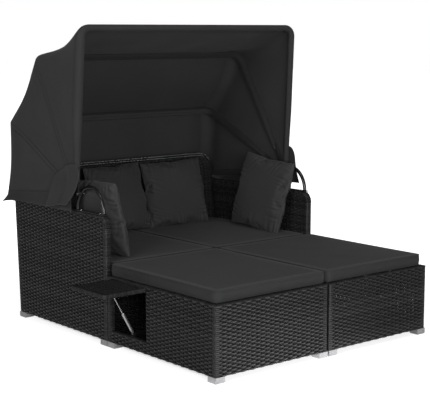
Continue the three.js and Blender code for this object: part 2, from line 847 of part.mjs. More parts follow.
// One cloth panel of the hood, from the bow behind to the bow ahead: straight threads between
// the two bows, drawn in by the sag, with a hem round the first and the last bow
function clothPanel(behindIndex) {
  const steps = { leg: 5, corner: 4, bar: 8 };
  const lines = [behindIndex, behindIndex + 1].map((index) => ({
    angle: THREE.MathUtils.degToRad(bowTable[index].angle),
    stations: bowLine(bowTable[index], index, clothInnerReach, steps),
  }));
  const onBow = (line, s, ahead) => fromBowPlane(
    line.angle,
    s.x + s.outX * clothOffset,
    s.reach + s.outR * clothOffset,
    ahead,
  );
  const outwards = (line, s) =>
    fromBowPlane(line.angle, s.outX, s.outR).sub(fromBowPlane(line.angle, 0, 0));
  const [behind, ahead] = lines;
  const across = 8;
  const rows = [];
  const isRear = behindIndex === 0;
  const isFront = behindIndex === bowTable.length - 2;
  if (isRear) rows.push(behind.stations.map((s) => onBow(behind, s, rearHem)));
  for (let i = 0; i <= across; i++) {
    const share = i / across;
    rows.push(behind.stations.map((s, j) => {
      const t = ahead.stations[j];
      const gap = clothJointGap / 2;
      const from = onBow(behind, s, isRear ? 0 : -gap);
      const to = onBow(ahead, t, isFront ? 0 : gap);
      const place = from.lerp(to, share);
      const out = outwards(behind, s).lerp(outwards(ahead, t), share).normalize();
      const sideShare = Math.abs(out.x);
      const sag = clothSag + (clothSideSag - clothSag) * sideShare;
      const width = Math.min(s.reach / bowTable[behindIndex].reach, 1);
      return place.addScaledVector(out, -sag * width * Math.sin(Math.PI * share) ** 2);
    }));
  }
  if (isFront) rows.push(ahead.stations.map((s) => onBow(ahead, s, -frontHem)));
  return sheet(rows, clothThickness);
}

// The skirt flap that hangs behind the pivot on each side, sewn to the middle panel
function skirtFlap(side) {
  const rowCount = 5;
  const columnCount = 6;
  const carrier = bowTable.length - 2;
  const top = lugX(carrier) + clothOffset + clothThickness + 2 * faceGap;
  const hangsFrom = pivotZ + skirtAbovePivot;
  const hangsTo = armHeight + skirtAboveArm;
  const rows = [];
  for (let i = 0; i <= rowCount; i++) {
    const drop = i / rowCount;
    rows.push([]);
    for (let j = 0; j <= columnCount; j++) {
      const share = (side > 0 ? j : columnCount - j) / columnCount;
      const fold = skirtFold * Math.sin(share * Math.PI * skirtFoldCount) * drop;
      const x = top + skirtFlare * drop * drop + fold * drop;
      const y = pivotY + skirtFront + (skirtRear - skirtFront) * share;
      const z = hangsFrom + (hangsTo - hangsFrom) * drop;
      rows[i].push(new THREE.Vector3(side * x, y, z));
    }
  }
  rows.reverse();
  return sheet(rows, clothThickness);
}

// Ottoman: side is -1 for the left one, whose table is in its left side
function ottomanPieces(side) {
  const outer = halfWidth;
  const inner = ottomanGap / 2;
  const span = (a, b) => [Math.min(side * a, side * b), Math.max(side * a, side * b)];
  const rear = -seamGap;
  const front = rear - ottomanDepth;
  const box = (xs, ys, zs) => {
    const [x0, x1] = span(...xs);
    return [[x0, ys[0], zs[0]], [x1, ys[1], zs[1]]];
  };
  const w = weaveWall;
  const openingRear = rear - stileWidth;
  const openingFront = openingRear - openingWidth;
  const hingeZ = deckTop - hingeBelowDeck;
  const hingeX = outer - flapThickness / 2;
  const openingTop = hingeZ + flapThickness / 2 + flapTopGap;

  const shell = solid(block(...box([inner, outer], [front, rear], [footHeight, deckTop])));
  const room = solid(block(...box(
    [inner + w, outer - w],
    [front + w, rear - w],
    [footHeight + w, deckBottom],
  )));
  const rimX = [inner + rimWidth, outer - rimWidth];
  const rimY = [front + rimWidth, rear - rimWidth];
  const topHole = solid(block(...box(rimX, rimY, [deckBottom - w, deckTop + cutOverrun])));
  const opening = solid(block(...box(
    [outer - w - cutOverrun, outer + cutOverrun],
    [openingFront, openingRear],
    [sillHeight, openingTop],
  )));
  const weave = shell.subtract(room).subtract(topHole).subtract(opening);

  const t = ottomanTube;
  const skin = w + weaveClearance;
  const x1 = outer - skin;
  const x0 = inner + skin;
  const y0 = front + skin;
  const y1 = rear - skin;
  const top = deckBottom - faceGap;
  const railX = outer - flapThickness - flapRailGap;
  const low = footHeight + w + faceGap;
  const sillTop = sillHeight - strutSillDrop;
  const postY = openingFront - skin;
  const members = [
    box([x0, x1], [y0, y0 + t], [top - t, top]),
    box([x0, x1], [y1 - t, y1], [top - t, top]),
    box([x0, x0 + t], [y0, y1], [top - t, top]),
    box([railX - t, railX], [y0, y1], [top - t, top]),
    box([x0, x0 + t], [y0, y0 + t], [low, top]),
    box([x0, x0 + t], [y1 - t, y1], [low, top]),
    box([x1 - t, x1], [y0, y0 + t], [low, top]),
    box([x1 - t, x1], [y1 - t, y1], [low, top]),
    box([x0, x1], [y0, y0 + t], [low, low + t]),
    box([x0, x1], [y1 - t, y1], [low, low + t]),
    box([x0, x0 + t], [y0, y1], [low, low + t]),
    box([x1 - t, x1], [y0, y1], [sillTop - t, sillTop]),
    box([x1 - t, x1], [postY - t, postY], [sillTop - t, top]),
    box([railX - t, x1], [postY - t, postY], [top - t, top]),
  ];
  for (const share of crossBarShares) {
    const y = (y0 + y1) / 2 + share * ottomanDepth;
    members.push(box([x0, railX], [y - t / 2, y + t / 2], [top - t, top]));
  }
  const ventPlace = [(side * (x0 + x1)) / 2, y0 + t / 2];
  const vent = bar("z", low - cutOverrun, low + tubeWall + t / 2, ventRadius, 6, ventPlace);

  const strutY = (openingFront + openingRear) / 2;
  const ear = strutEyeWidth / 2 + strutEarGap;
  const footX = outer - strutFootSetback;
  const ears = [-1, 1].map((way) => {
    const ys = [strutY + way * ear, strutY + way * (ear + strutEarThickness)].sort((a, b) => a - b);
    return solid(block(...box(
      [footX - strutEarHalf, footX + strutEarHalf],
      ys,
      [sillTop + strutEarThickness / 2, strutFootHeight + strutEarHalf],
    )));
  });
  const earPin = solid(bar(
    "y",
    strutY - ear - strutEarThickness / 2,
    strutY + ear + strutEarThickness / 2,
    strutRodRadius,
    10,
    [side * footX, strutFootHeight],
  ));
  const footPlate = solid(block(...box(
    [footX - strutEarHalf, x1],
    [strutY - ear - strutEarThickness, strutY + ear + strutEarThickness],
    [sillTop - tubeWall / 2, sillTop + strutEarThickness],
  )));
  const frame = joined([tubeFrame(members, vent), footPlate, ...ears, earPin]);

  const deck = block(...box(
    [rimX[0] + faceGap, rimX[1] - faceGap],
    [rimY[0] + faceGap, rimY[1] - faceGap],
    [deckBottom, deckTop],
  ));

  const cushion = boxedCushion(
    span(cushionSeam, outer - ottomanCushionInset),
    [front + ottomanCushionInset, -cushionSeam],
    deckTop + faceGap,
  );

  const reach = footWidth / 2;
  const feet = [
    ["front_outer_foot", foot(side * (outer - reach), front + reach)],
    ["front_inner_foot", foot(side * (inner + reach), front + reach)],
    ["rear_outer_foot", foot(side * (outer - reach), rear - reach)],
    ["rear_inner_foot", foot(side * (inner + reach), rear - reach)],
  ];

  const pinEnds = [postY + faceGap, y1 - t - faceGap];
  const pin = bar("y", ...pinEnds, hingePinRadius, 12, [side * hingeX, hingeZ]);
  const tableWidth = openingWidth - 2 * flapSideGap;
  return { weave, frame, deck, cushion, feet, pin, hingeX, hingeZ, strutY, footX, tableWidth };
}

// Flap table, drawn at its hinge pin and standing straight out from the ottoman's side (+X)
function flapPanel(width) {
  const half = flapThickness / 2;
  const r = flapCornerRadius;
  const knuckle = new THREE.Shape();
  knuckle.moveTo(0, -half);
  knuckle.lineTo(flapReach, -half);
  knuckle.lineTo(flapReach, half);
  knuckle.lineTo(0, half);
  knuckle.absarc(0, 0, half, Math.PI / 2, (3 * Math.PI) / 2, false);
  const board = extruded(knuckle, width, 5);
  board.rotateX(Math.PI / 2);
  board.translate(0, width / 2, 0);
  const corners = new THREE.Shape();
  const y = width / 2;
  corners.moveTo(-flapThickness, -y);
  corners.lineTo(flapReach - r, -y);
  corners.absarc(flapReach - r, -y + r, r, -Math.PI / 2, 0, false);
  corners.absarc(flapReach - r, y - r, r, 0, Math.PI / 2, false);
  corners.lineTo(-flapThickness, y);
  corners.closePath();
  const outline = extruded(corners, 2 * flapThickness, 4);
  outline.translate(0, 0, -flapThickness);
  const bore = bar("y", -y - cutOverrun, y + cutOverrun, hingePinRadius + pinClearance, 12, [0, 0]);
  return solid(board).intersect(solid(outline)).subtract(solid(bore));
}

// Ear bracket under the flap that holds the strut's upper eye
function flapBracket() {
  const underside = -flapThickness / 2 - faceGap;
  const ear = strutEyeWidth / 2 + strutEarGap;
  const plate = block(
    [strutEyeOut - strutPlateWidth / 2, -ear - strutPlateWidth / 4, underside - strutEarThickness],
    [strutEyeOut + strutPlateWidth / 2, ear + strutPlateWidth / 4, underside],
  );
  const ears = [-1, 1].map((way) => {
    const ys = [way * ear, way * (ear + strutEarThickness)].sort((a, b) => a - b);
    const shape = new THREE.Shape();
    shape.moveTo(strutEyeOut - strutEarHalf, underside - strutEarThickness / 2);
    shape.lineTo(strutEyeOut - strutEarHalf, -strutEyeDrop);
    shape.absarc(strutEyeOut, -strutEyeDrop, strutEarHalf, Math.PI, 2 * Math.PI, false);
    shape.lineTo(strutEyeOut + strutEarHalf, underside - strutEarThickness / 2);
    shape.closePath();
    const geometry = extruded(shape, strutEarThickness, 4);
    geometry.rotateX(Math.PI / 2);
    geometry.translate(0, ys[1], 0);
    return solid(geometry);
  });
  return joined([solid(plate), ...ears]);
}

// Strut, drawn with its foot pin at the middle and standing up along Z
function strutEye(height, boreRadius) {
  const half = strutEyeWidth / 2;
  const ring = solid(bar("y", -half, half, strutEyeRadius, 12, [0, height]));
  if (!boreRadius) return ring;
  return ring.subtract(solid(bar("y", -half - cutOverrun, half + cutOverrun, boreRadius, 12, [0, height])));
}

function strutCylinder() {
  const top = strutCylinderStart + strutCylinderLength;
  const bore = strutRodRadius + pinClearance;
  const neckEnds = [strutEyeRadius - strutEarThickness / 2, strutCylinderStart + cutOverrun];
  const neck = bar("z", ...neckEnds, strutRodRadius, 8, [0, 0]);
  const tube = bar("z", strutCylinderStart, top, strutCylinderRadius, 16, [0, 0]);
  const hole = bar("z", strutCylinderStart + 2 * strutEyeRadius, top + cutOverrun, bore, 12, [0, 0]);
  return joined([strutEye(0, bore), solid(neck), solid(tube)]).subtract(solid(hole));
}

function strutRod(length) {
  const rod = bar("z", length - strutRodLength, length - strutEyeRadius / 2, strutRodRadius, 12, [0, 0]);
  return strutEye(length, 0).add(solid(rod));
}

// Assembly
const daybed = new THREE.Group();

function add(name, shape, finish, parent = daybed) {
  const geometry = shape.isBufferGeometry ? shape : geometryOf(shape);
  const mesh = new THREE.Mesh(geometry, finish);
  mesh.name = name;
  parent.add(mesh);
  return mesh;
}

const sides = [["left", -1], ["right", 1]];
for (const [word, side] of sides) {
  add(`${word}_side_weave`, wovenPanel(sideShape, sidePlate(side)), weaveFinish);
  add(`${word}_side_frame`, sideFrame(side), steelFinish);
  const edge = side * (halfWidth - footWidth / 2);
  add(`sofa_front_${word}_foot`, foot(edge, footWidth / 2), footFinish);
  add(`sofa_rear_${word}_foot`, foot(edge, sofaDepth - footWidth / 2), footFinish);
  const xs = [side * cushionSeam, side * (innerHalf - cushionSeam)].sort((a, b) => a - b);
  const rear = backFaceY(deckTop) - cushionSeam;
  add(`${word}_seat_cushion`, boxedCushion(xs, [cushionSeam, rear], deckTop + faceGap), clothFinish);
  add(`${word}_arch`, archBracket(side), steelFinish);
  add(`${word}_pivot_bolt`, pivotBolt(side), chromeFinish);
  add(`${word}_canopy_flap`, skirtFlap(side), clothFinish);
}
add("back_weave", wovenPanel(backShape, backPlate), weaveFinish);
add("back_frame", backFrame(), steelFinish);
add("back_braid", backBraid(), weaveFinish);
add("seat_frame", seatFrame(), steelFinish);
add("front_apron", apron(), weaveFinish);
const deckSide = innerHalf - faceGap;
const deckFront = apronSetback + apronFlange + faceGap;
const deckRear = backFaceY(deckBottom) - faceGap;
add("seat_deck", block([-deckSide, deckFront, deckBottom], [deckSide, deckRear, deckTop]), weaveFinish);

for (const row of pillowTable) {
  const mesh = add(row.name, pillow(), clothFinish);
  mesh.position.set(...pillowPlace(row));
  mesh.rotation.set(THREE.MathUtils.degToRad(-pillowLean), 0, THREE.MathUtils.degToRad(row.turn), "ZXY");
}

bowTable.forEach((bow, index) => add(bow.name, bowBody(bow, index), steelFinish));
["rear", "middle", "front"].forEach((word, index) =>
  add(`${word}_canopy_panel`, clothPanel(index), clothFinish),
);

for (const [word, side] of sides) {
  const pieces = ottomanPieces(side);
  add(`${word}_ottoman_weave`, pieces.weave, weaveFinish);
  add(`${word}_ottoman_frame`, pieces.frame, steelFinish);
  add(`${word}_ottoman_deck`, pieces.deck, weaveFinish);
  add(`${word}_ottoman_cushion`, pieces.cushion, clothFinish);
  for (const [place, geometry] of pieces.feet) add(`${word}_ottoman_${place}`, geometry, footFinish);
  add(`${word}_table_hinge_pin`, pieces.pin, chromeFinish);

  // The left table stands open, as it is used; the right one hangs shut in its opening
  const open = side < 0;
  const table = new THREE.Group();
  table.position.set(side * pieces.hingeX, pieces.strutY, pieces.hingeZ);
  table.rotation.set(0, 0, side < 0 ? Math.PI : 0);
  const flap = new THREE.Group();
  flap.rotation.set(0, open ? 0 : Math.PI / 2, 0);
  table.add(flap);
  daybed.add(table);
  add(`${word}_table_panel`, flapPanel(pieces.tableWidth), boardFinish, flap);
  add(`${word}_table_bracket`, flapBracket(), steelFinish, flap);

  const eye = open
    ? new THREE.Vector2(strutEyeOut, -strutEyeDrop)
    : new THREE.Vector2(-strutEyeDrop, -strutEyeOut);
  const footOut = pieces.footX - pieces.hingeX;
  const footUp = strutFootHeight - pieces.hingeZ;
  const reach = new THREE.Vector2(eye.x - footOut, eye.y - footUp);
  const strut = new THREE.Group();
  strut.position.set(footOut, 0, footUp);
  strut.rotation.set(0, Math.atan2(reach.x, reach.y), 0);
  table.add(strut);
  add(`${word}_strut_cylinder`, strutCylinder(), chromeFinish, strut);
  add(`${word}_strut_rod`, strutRod(reach.length()), chromeFinish, strut);
}

// The origin is under the middle of the whole set, on the floor
const extent = new THREE.Box3().setFromObject(daybed, true);
daybed.position.set(-(extent.min.x + extent.max.x) / 2, -(extent.min.y + extent.max.y) / 2, -extent.min.z);
daybed.updateMatrixWorld(true);

export default daybed;
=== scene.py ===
import json
import math

import bmesh
import bpy
import numpy as np
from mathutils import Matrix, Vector


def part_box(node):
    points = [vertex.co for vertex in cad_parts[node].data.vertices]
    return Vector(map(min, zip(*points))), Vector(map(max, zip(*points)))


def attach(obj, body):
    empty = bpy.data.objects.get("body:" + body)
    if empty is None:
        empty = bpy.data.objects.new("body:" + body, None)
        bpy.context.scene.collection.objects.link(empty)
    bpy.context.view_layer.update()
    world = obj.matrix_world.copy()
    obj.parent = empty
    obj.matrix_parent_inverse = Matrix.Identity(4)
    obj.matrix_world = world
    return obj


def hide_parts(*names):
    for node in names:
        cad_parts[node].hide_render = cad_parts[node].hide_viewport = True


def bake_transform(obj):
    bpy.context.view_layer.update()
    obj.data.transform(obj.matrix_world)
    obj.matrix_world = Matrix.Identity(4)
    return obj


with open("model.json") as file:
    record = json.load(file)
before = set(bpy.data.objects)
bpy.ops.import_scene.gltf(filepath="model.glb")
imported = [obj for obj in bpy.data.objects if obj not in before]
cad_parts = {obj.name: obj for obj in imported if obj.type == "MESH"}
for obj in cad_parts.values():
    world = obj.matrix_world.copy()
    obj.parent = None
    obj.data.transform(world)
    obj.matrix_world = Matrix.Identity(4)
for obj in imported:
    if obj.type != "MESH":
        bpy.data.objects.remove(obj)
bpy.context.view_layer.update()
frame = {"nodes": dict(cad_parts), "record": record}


# Foot blocks
# The sofa and each ottoman stand on four square blocks of cast aluminium. They are bare metal,
# silver grey and softly rough, and are screwed up into the corners of the welded frames.

def shader(name):
    """A new material: returns it, its node tree and its Principled surface."""
    made = bpy.data.materials.new(name)
    made.use_nodes = True
    tree = made.node_tree
    return made, tree, tree.nodes["Principled BSDF"]


def feed(tree, socket, value):
    """Links a socket where the value is itself a socket, and sets it otherwise."""
    if isinstance(value, bpy.types.NodeSocket):
        tree.links.new(value, socket)
    else:
        socket.default_value = value


def fill(tree, made, **values):
    """Sets a node's properties and feeds its sockets by name: an underscore stands for a space."""
    for key, value in values.items():
        if hasattr(made, key) and key not in made.inputs:
            setattr(made, key, value)
        else:
            feed(tree, made.inputs[key if key in made.inputs else key.replace("_", " ")], value)
    return made


def node(tree, kind, **values):
    """A new shader node of a kind, filled by name."""
    return fill(tree, tree.nodes.new(kind), **values)


def maths(tree, operation, *values):
    """What a maths node makes of sockets and numbers."""
    made = node(tree, "ShaderNodeMath", operation=operation)
    for socket, value in zip(made.inputs, values):
        feed(tree, socket, value)
    return made.outputs["Value"]


def ranged(tree, value, before, after):
    """A socket's value carried from one range to another, and held within it."""
    return node(tree, "ShaderNodeMapRange", Value=value, From_Min=before[0], From_Max=before[1],
                To_Min=after[0], To_Max=after[1]).outputs["Result"]


def crossed_sines(tree, vector):
    """The sine of a vector's X times the sine of its Y."""
    parts = node(tree, "ShaderNodeSeparateXYZ", Vector=vector)
    return maths(tree, "MULTIPLY", *[maths(tree, "SINE", parts.outputs[axis]) for axis in ("X", "Y")])


def ramp(tree, factor, stops):
    """A colour ramp read at a factor, with stops of (place, colour)."""
    made = tree.nodes.new("ShaderNodeValToRGB")
    tree.links.new(factor, made.inputs["Fac"])
    band = made.color_ramp
    for i, (place, shade) in enumerate(stops):
        stop = band.elements[i] if i < 2 else band.elements.new(place)
        stop.position = place
        stop.color = (*shade, 1.0)
    return made.outputs["Color"]


def group(name, inputs, outputs):
    """An empty shader node group with named inputs and outputs, and its two end nodes."""
    made = bpy.data.node_groups.new(name, "ShaderNodeTree")
    for label, kind, value in inputs:
        socket = made.interface.new_socket(label, in_out="INPUT", socket_type=kind)
        if value is not None:
            socket.default_value = value
    for label, kind in outputs:
        made.interface.new_socket(label, in_out="OUTPUT", socket_type=kind)
    return made, made.nodes.new("NodeGroupInput"), made.nodes.new("NodeGroupOutput")


def metal_grain():
    """Fine grain and dull patches of a metal or its paint: noise at a given size gives a height, and
    broader noise gives the wear mask."""
    made, start, end = group(
        "metal_grain",
        [("Vector", "NodeSocketVector", None), ("Grain Size", "NodeSocketFloat", 900.0),
         ("Patch Size", "NodeSocketFloat", 14.0)],
        [("Height", "NodeSocketFloat"), ("Wear", "NodeSocketFloat")],
    )
    grain = node(made, "ShaderNodeTexNoise", Vector=start.outputs["Vector"],
                 Scale=start.outputs["Grain Size"], Detail=3.0, Roughness=0.6)
    patch = node(made, "ShaderNodeTexNoise", Vector=start.outputs["Vector"],
                 Scale=start.outputs["Patch Size"], Detail=5.0, Roughness=0.65)
    fill(made, end, Height=grain.outputs["Fac"], Wear=patch.outputs["Fac"])
    return made


grain_group = metal_grain()


def metal(name, dark, light, rough, metallic, bump, grain=900.0, coat=0.0):
    """A metal or painted finish between two greys, rougher where it is worn, with a fine grain."""
    made, tree, skin = shader(name)
    place = node(tree, "ShaderNodeTexCoord").outputs["Object"]
    marks = node(tree, "ShaderNodeGroup", node_tree=grain_group, Vector=place, Grain_Size=grain)
    tint = ramp(tree, marks.outputs["Wear"], [(0.35, dark), (0.68, light)])
    dull = ranged(tree, marks.outputs["Wear"], (0.3, 0.7), rough)
    relief = node(tree, "ShaderNodeBump", Height=marks.outputs["Height"], Strength=bump,
                  Distance=0.0004)
    fill(tree, skin, Base_Color=tint, Roughness=dull, Metallic=metallic, Coat_Weight=coat,
         Coat_Roughness=0.15, Normal=relief.outputs["Normal"])
    return made


def dress(obj, finish):
    """Gives a piece its finish."""
    obj.data.materials.clear()
    obj.data.materials.append(finish)


foot_metal = metal("cast_aluminium", (0.34, 0.34, 0.35), (0.50, 0.50, 0.51), (0.38, 0.55), 0.6, 0.5,
                   grain=700.0)
nodes = frame["nodes"]
for name, piece in nodes.items():
    if name.endswith("_foot"):
        dress(piece, foot_metal)


# Welded frames
# Square steel tube, welded and powder coated black, stands inside each woven panel and carries
# the seat. It shows only from below and through the opening of a table.

powder_coat = metal("black_powder_coat", (0.010, 0.010, 0.011), (0.018, 0.018, 0.019), (0.28, 0.42),
                    0.0, 0.35, grain=1500.0)
for name, piece in nodes.items():
    if name.endswith("_frame"):
        dress(piece, powder_coat)


# Woven walls of the sofa and the ottomans
# Flat strands of black plastic cane run level round each frame, in front of one upright stake and
# behind the next, and the rows beside them are shifted by one stake. Edges are wound crosswise.

STRAND_PITCH = 0.00925
STRAND_WIDTH = 0.0097
STRAND_CROWN = 0.0008
STAKE_PITCH = 0.029
STAKE_WIDTH = 0.0055
WAVE = 0.0026
WEAVE_DEPTH = 0.0032
STATIONS_PER_STAKE = 4
CREST_BROADER = 0.09
CALM_AT_CORNER = (0.008, 0.026)
CORNER_LIFT = 0.55
WINDING_SUNK = 0.0012
WINDING_STEP = 0.0004
PANEL_THICK = 0.040
PANEL_CORNER = 0.009
EDGE_LAP = 0.013
EDGE_ROUND = 0.008
ROWS_STOP = 0.006
STAKES_STOP = 0.004
SOFA_LEAN = 0.055
chance = np.random.default_rng(7)


def smooth(value, low, high):
    """0 below low, 1 above high, and 3t^2 - 2t^3 between them."""
    t = np.clip((value - low) / (high - low), 0.0, 1.0)
    return t * t * (3.0 - 2.0 * t)


def box_of(name):
    """The lowest and highest corner of a node's box."""
    return [np.array(corner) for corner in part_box(name)]


def unit(vectors):
    """Vectors divided by their lengths."""
    return vectors / np.maximum(np.linalg.norm(vectors, axis=-1, keepdims=True), 1e-12)


def strands(centre, across, out, along, width, crown, keep=None, crest=0.45):
    """Closed ribbons along rows of stations: at each station four points lie at -0.5, -0.27, 0.27 and
    0.5 of the width across, and at -0.35, 0.65, 0.65 and -0.35 of the crown outwards. Two stations
    are joined by four faces where keep is true. Returns points, quads, UV, and two marks: a tone
    per ribbon, and how far each station stands out, from 0 to 1."""
    rows, stations = centre.shape[:2]
    side = np.array([-0.5, -0.27, 0.27, 0.5])
    rise = np.array([-0.35, 0.65, 0.65, -0.35]) * crown
    across = np.broadcast_to(across, centre.shape)
    out = np.broadcast_to(out, centre.shape)
    broad = np.broadcast_to(width, (rows, stations))[:, :, None] * side
    points = (centre[:, :, None] + across[:, :, None] * broad[..., None] + out[:, :, None] * rise[:, None])
    index = np.arange(rows * stations * 4).reshape(rows, stations, 4)
    turn = np.roll(index, -1, axis=2)
    quads = np.stack([index[:, :-1], index[:, 1:], turn[:, 1:], turn[:, :-1]], axis=-1)
    step = centre[:, 1:] - centre[:, :-1]
    faces_out = np.einsum("rsi,rsi->rs", np.cross(step, across[:, :-1]), out[:, :-1])
    if faces_out.sum() < 0:
        quads = quads[..., ::-1]
    if keep is None:
        keep = np.ones((rows, stations - 1), bool)
    keep = keep & (np.linalg.norm(step, axis=-1) > 1e-6)
    place = np.broadcast_to(along, (rows, stations))
    uv = np.stack(np.broadcast_arrays(place[..., None], np.array([0.0, 0.26, 0.74, 1.0])), axis=-1)
    tone = np.broadcast_to(chance.random((rows, 1, 1)), (rows, stations, 4))
    crest = np.broadcast_to(np.broadcast_to(crest, (rows, stations))[..., None], (rows, stations, 4))
    marks = np.stack([tone, crest], axis=-1)
    return points.reshape(-1, 3), quads[keep].reshape(-1, 4), uv.reshape(-1, 2), marks.reshape(-1, 2)


def mesh_from(name, points, quads, uv=None, marks=None):
    """A mesh object from points and four-cornered faces, without the points that no face uses."""
    used, quads = np.unique(quads, return_inverse=True)
    quads = quads.reshape(-1, 4)
    mesh = bpy.data.meshes.new(name)
    mesh.vertices.add(len(used))
    mesh.vertices.foreach_set("co", points[used].astype(np.float32).ravel())
    mesh.loops.add(quads.size)
    mesh.loops.foreach_set("vertex_index", quads.astype(np.int32).ravel())
    mesh.polygons.add(len(quads))
    mesh.polygons.foreach_set("loop_start", np.arange(0, quads.size, 4, dtype=np.int32))
    mesh.update(calc_edges=True)
    mesh.polygons.foreach_set("use_smooth", np.ones(len(quads), bool))
    if uv is not None:
        layer = mesh.uv_layers.new(name="piece")
        layer.data.foreach_set("uv", uv[used][quads].astype(np.float32).ravel())
    if marks is not None:
        for i, mark in enumerate(("tone", "crest")):
            values = mesh.attributes.new(mark, "FLOAT", "POINT")
            values.data.foreach_set("value", marks[used, i].astype(np.float32))
    made = bpy.data.objects.new(name, mesh)
    bpy.context.collection.objects.link(made)
    return made


def woven(name, groups):
    """One mesh from several groups of ribbons."""
    shifts = np.cumsum([0] + [len(g[0]) for g in groups[:-1]])
    return mesh_from(
        name,
        np.concatenate([g[0] for g in groups]),
        np.concatenate([g[1] + shift for g, shift in zip(groups, shifts)]),
        np.concatenate([g[2] for g in groups]),
        np.concatenate([g[3] for g in groups]),
    )


def plan_path(corners, radius, closed):
    """A path in plan through straight legs and round corners. Returns a function that gives, for
    places along it, x, y, the outward normal, and the distance to the nearest corner; outwards is
    to the right of the way it runs."""
    corners = np.array(corners, float)
    count = len(corners)
    bend_steps, fine_step, no_bend = 9, 0.001, 1.0
    xs, ys, bends = [], [], []
    for i in range(count):
        corner = corners[i]
        if not closed and i in (0, count - 1):
            xs.append([corner[0]])
            ys.append([corner[1]])
            bends.append([0.0])
            continue
        before = unit(corners[i - 1] - corner)
        after = unit(corners[(i + 1) % count] - corner)
        middle = corner + (before + after) * radius
        start = np.arctan2(*(-after)[::-1])
        sweep = np.arctan2(*(-before)[::-1]) - start
        sweep = (sweep + math.pi) % (2 * math.pi) - math.pi
        turn = start + sweep * np.linspace(0.0, 1.0, bend_steps)
        xs.append(middle[0] + radius * np.cos(turn))
        ys.append(middle[1] + radius * np.sin(turn))
        bends.append(np.ones(bend_steps))
    if closed:
        xs.append(xs[0][:1])
        ys.append(ys[0][:1])
        bends.append([1.0])
    x, y = np.concatenate(xs), np.concatenate(ys)
    bend = np.concatenate(bends)
    s = np.concatenate([[0.0], np.cumsum(np.hypot(np.diff(x), np.diff(y)))])
    at_bend = s[bend > 0.5]
    dense = np.arange(0.0, s[-1], fine_step)
    dense_x, dense_y = np.interp(dense, s, x), np.interp(dense, s, y)
    heading = unit(np.stack([np.gradient(dense_x), np.gradient(dense_y)], axis=-1))

    def at(q):
        q = np.mod(q, s[-1]) if closed else q
        normal = np.stack([np.interp(q, dense, heading[:, 1]), -np.interp(q, dense, heading[:, 0])],
                          axis=-1)
        if len(at_bend):
            far = np.abs(q[..., None] - at_bend).min(axis=-1)
        else:
            far = np.full(q.shape, no_bend)
        return np.interp(q, s, x), np.interp(q, s, y), unit(normal), far

    return at, s[-1]


def over_stakes(angle):
    """The wave of a strand that lies flat over a stake and dives quickly to the next: the cosine of
    the angle, its size raised to the power 0.6."""
    wave = np.cos(angle)
    return np.sign(wave) * np.abs(wave) ** 0.6


def level_rows(at, length, low, high, keep=None, shape=None, closed=False):
    """Level strands along a plan path. Row r lies at its height z, and at the place q along the path
    it stands off the middle surface by WAVE times the wave of pi q / stake pitch + pi r, fading to a
    steady small lift at the corners. It is broadest where it lies over a stake. shape moves the
    points, and keep(q, z) says where there is cane."""
    count = max(int(round((high - low) / STRAND_PITCH)), 1)
    z = low + (np.arange(count) + 0.5) * (high - low) / count
    stakes = round(length / STAKE_PITCH / 2) * 2 if closed else length / STAKE_PITCH
    pitch = length / stakes
    hair, least_step = 1e-9, 0.002
    q = np.arange(0.0, length + hair, pitch / STATIONS_PER_STAKE)
    if not closed:
        q = np.append(q[q < length - least_step], length)
    x, y, normal, far = at(np.minimum(q, length - hair) if closed else q)
    if closed:
        x[-1], y[-1], normal[-1] = x[0], y[0], normal[0]
    swing = smooth(far, *CALM_AT_CORNER)
    row = np.arange(count)[:, None]
    wave = swing * over_stakes(np.pi * (q / pitch + row)) + (1 - swing) * CORNER_LIFT
    lift = WAVE * wave - WEAVE_DEPTH
    qs, zs = np.broadcast_arrays(q[None, :], z[:, None])
    out = np.broadcast_to(np.append(normal, np.zeros((len(q), 1)), axis=1), (count, len(q), 3))
    centre = np.stack(np.broadcast_arrays(x[None, :], y[None, :], zs), axis=-1)
    centre = centre + out * lift[..., None]
    if shape:
        centre = shape(centre, qs)
    kept = np.ones((count, len(q) - 1), bool)
    if keep:
        middle_q = (qs[:, 1:] + qs[:, :-1]) / 2
        kept = keep(middle_q, zs[:, 1:])
    return strands(centre, np.array([0.0, 0.0, 1.0]), out, qs, STRAND_WIDTH * (1.0 + CREST_BROADER * wave),
                   STRAND_CROWN, kept, 0.5 + 0.5 * wave)


def stakes(at, length, low, high, keep=None, shape=None, closed=False):
    """Upright stakes under the level strands, one at each stake pitch along the plan path."""
    station_step = 0.03
    number = round(length / STAKE_PITCH / 2) * 2 if closed else int(length / STAKE_PITCH)
    pitch = length / number if closed else STAKE_PITCH
    q = np.arange(number) * pitch
    z = np.linspace(low, high, max(int((high - low) / station_step), 2))
    x, y, normal, far = at(q)
    heading = np.stack([-normal[:, 1], normal[:, 0], np.zeros(len(q))], axis=-1)
    out = np.append(normal, np.zeros((len(q), 1)), axis=1)
    qs, zs = np.broadcast_arrays(q[:, None], z[None, :])
    centre = np.stack(np.broadcast_arrays(x[:, None], y[:, None], zs), axis=-1)
    centre = centre - out[:, None] * WEAVE_DEPTH
    if shape:
        centre = shape(centre, qs)
    kept = keep(qs[:, 1:], (zs[:, 1:] + zs[:, :-1]) / 2) if keep else None
    return strands(centre, heading[:, None], out[:, None], zs, STAKE_WIDTH, STRAND_CROWN, kept, 0.1)


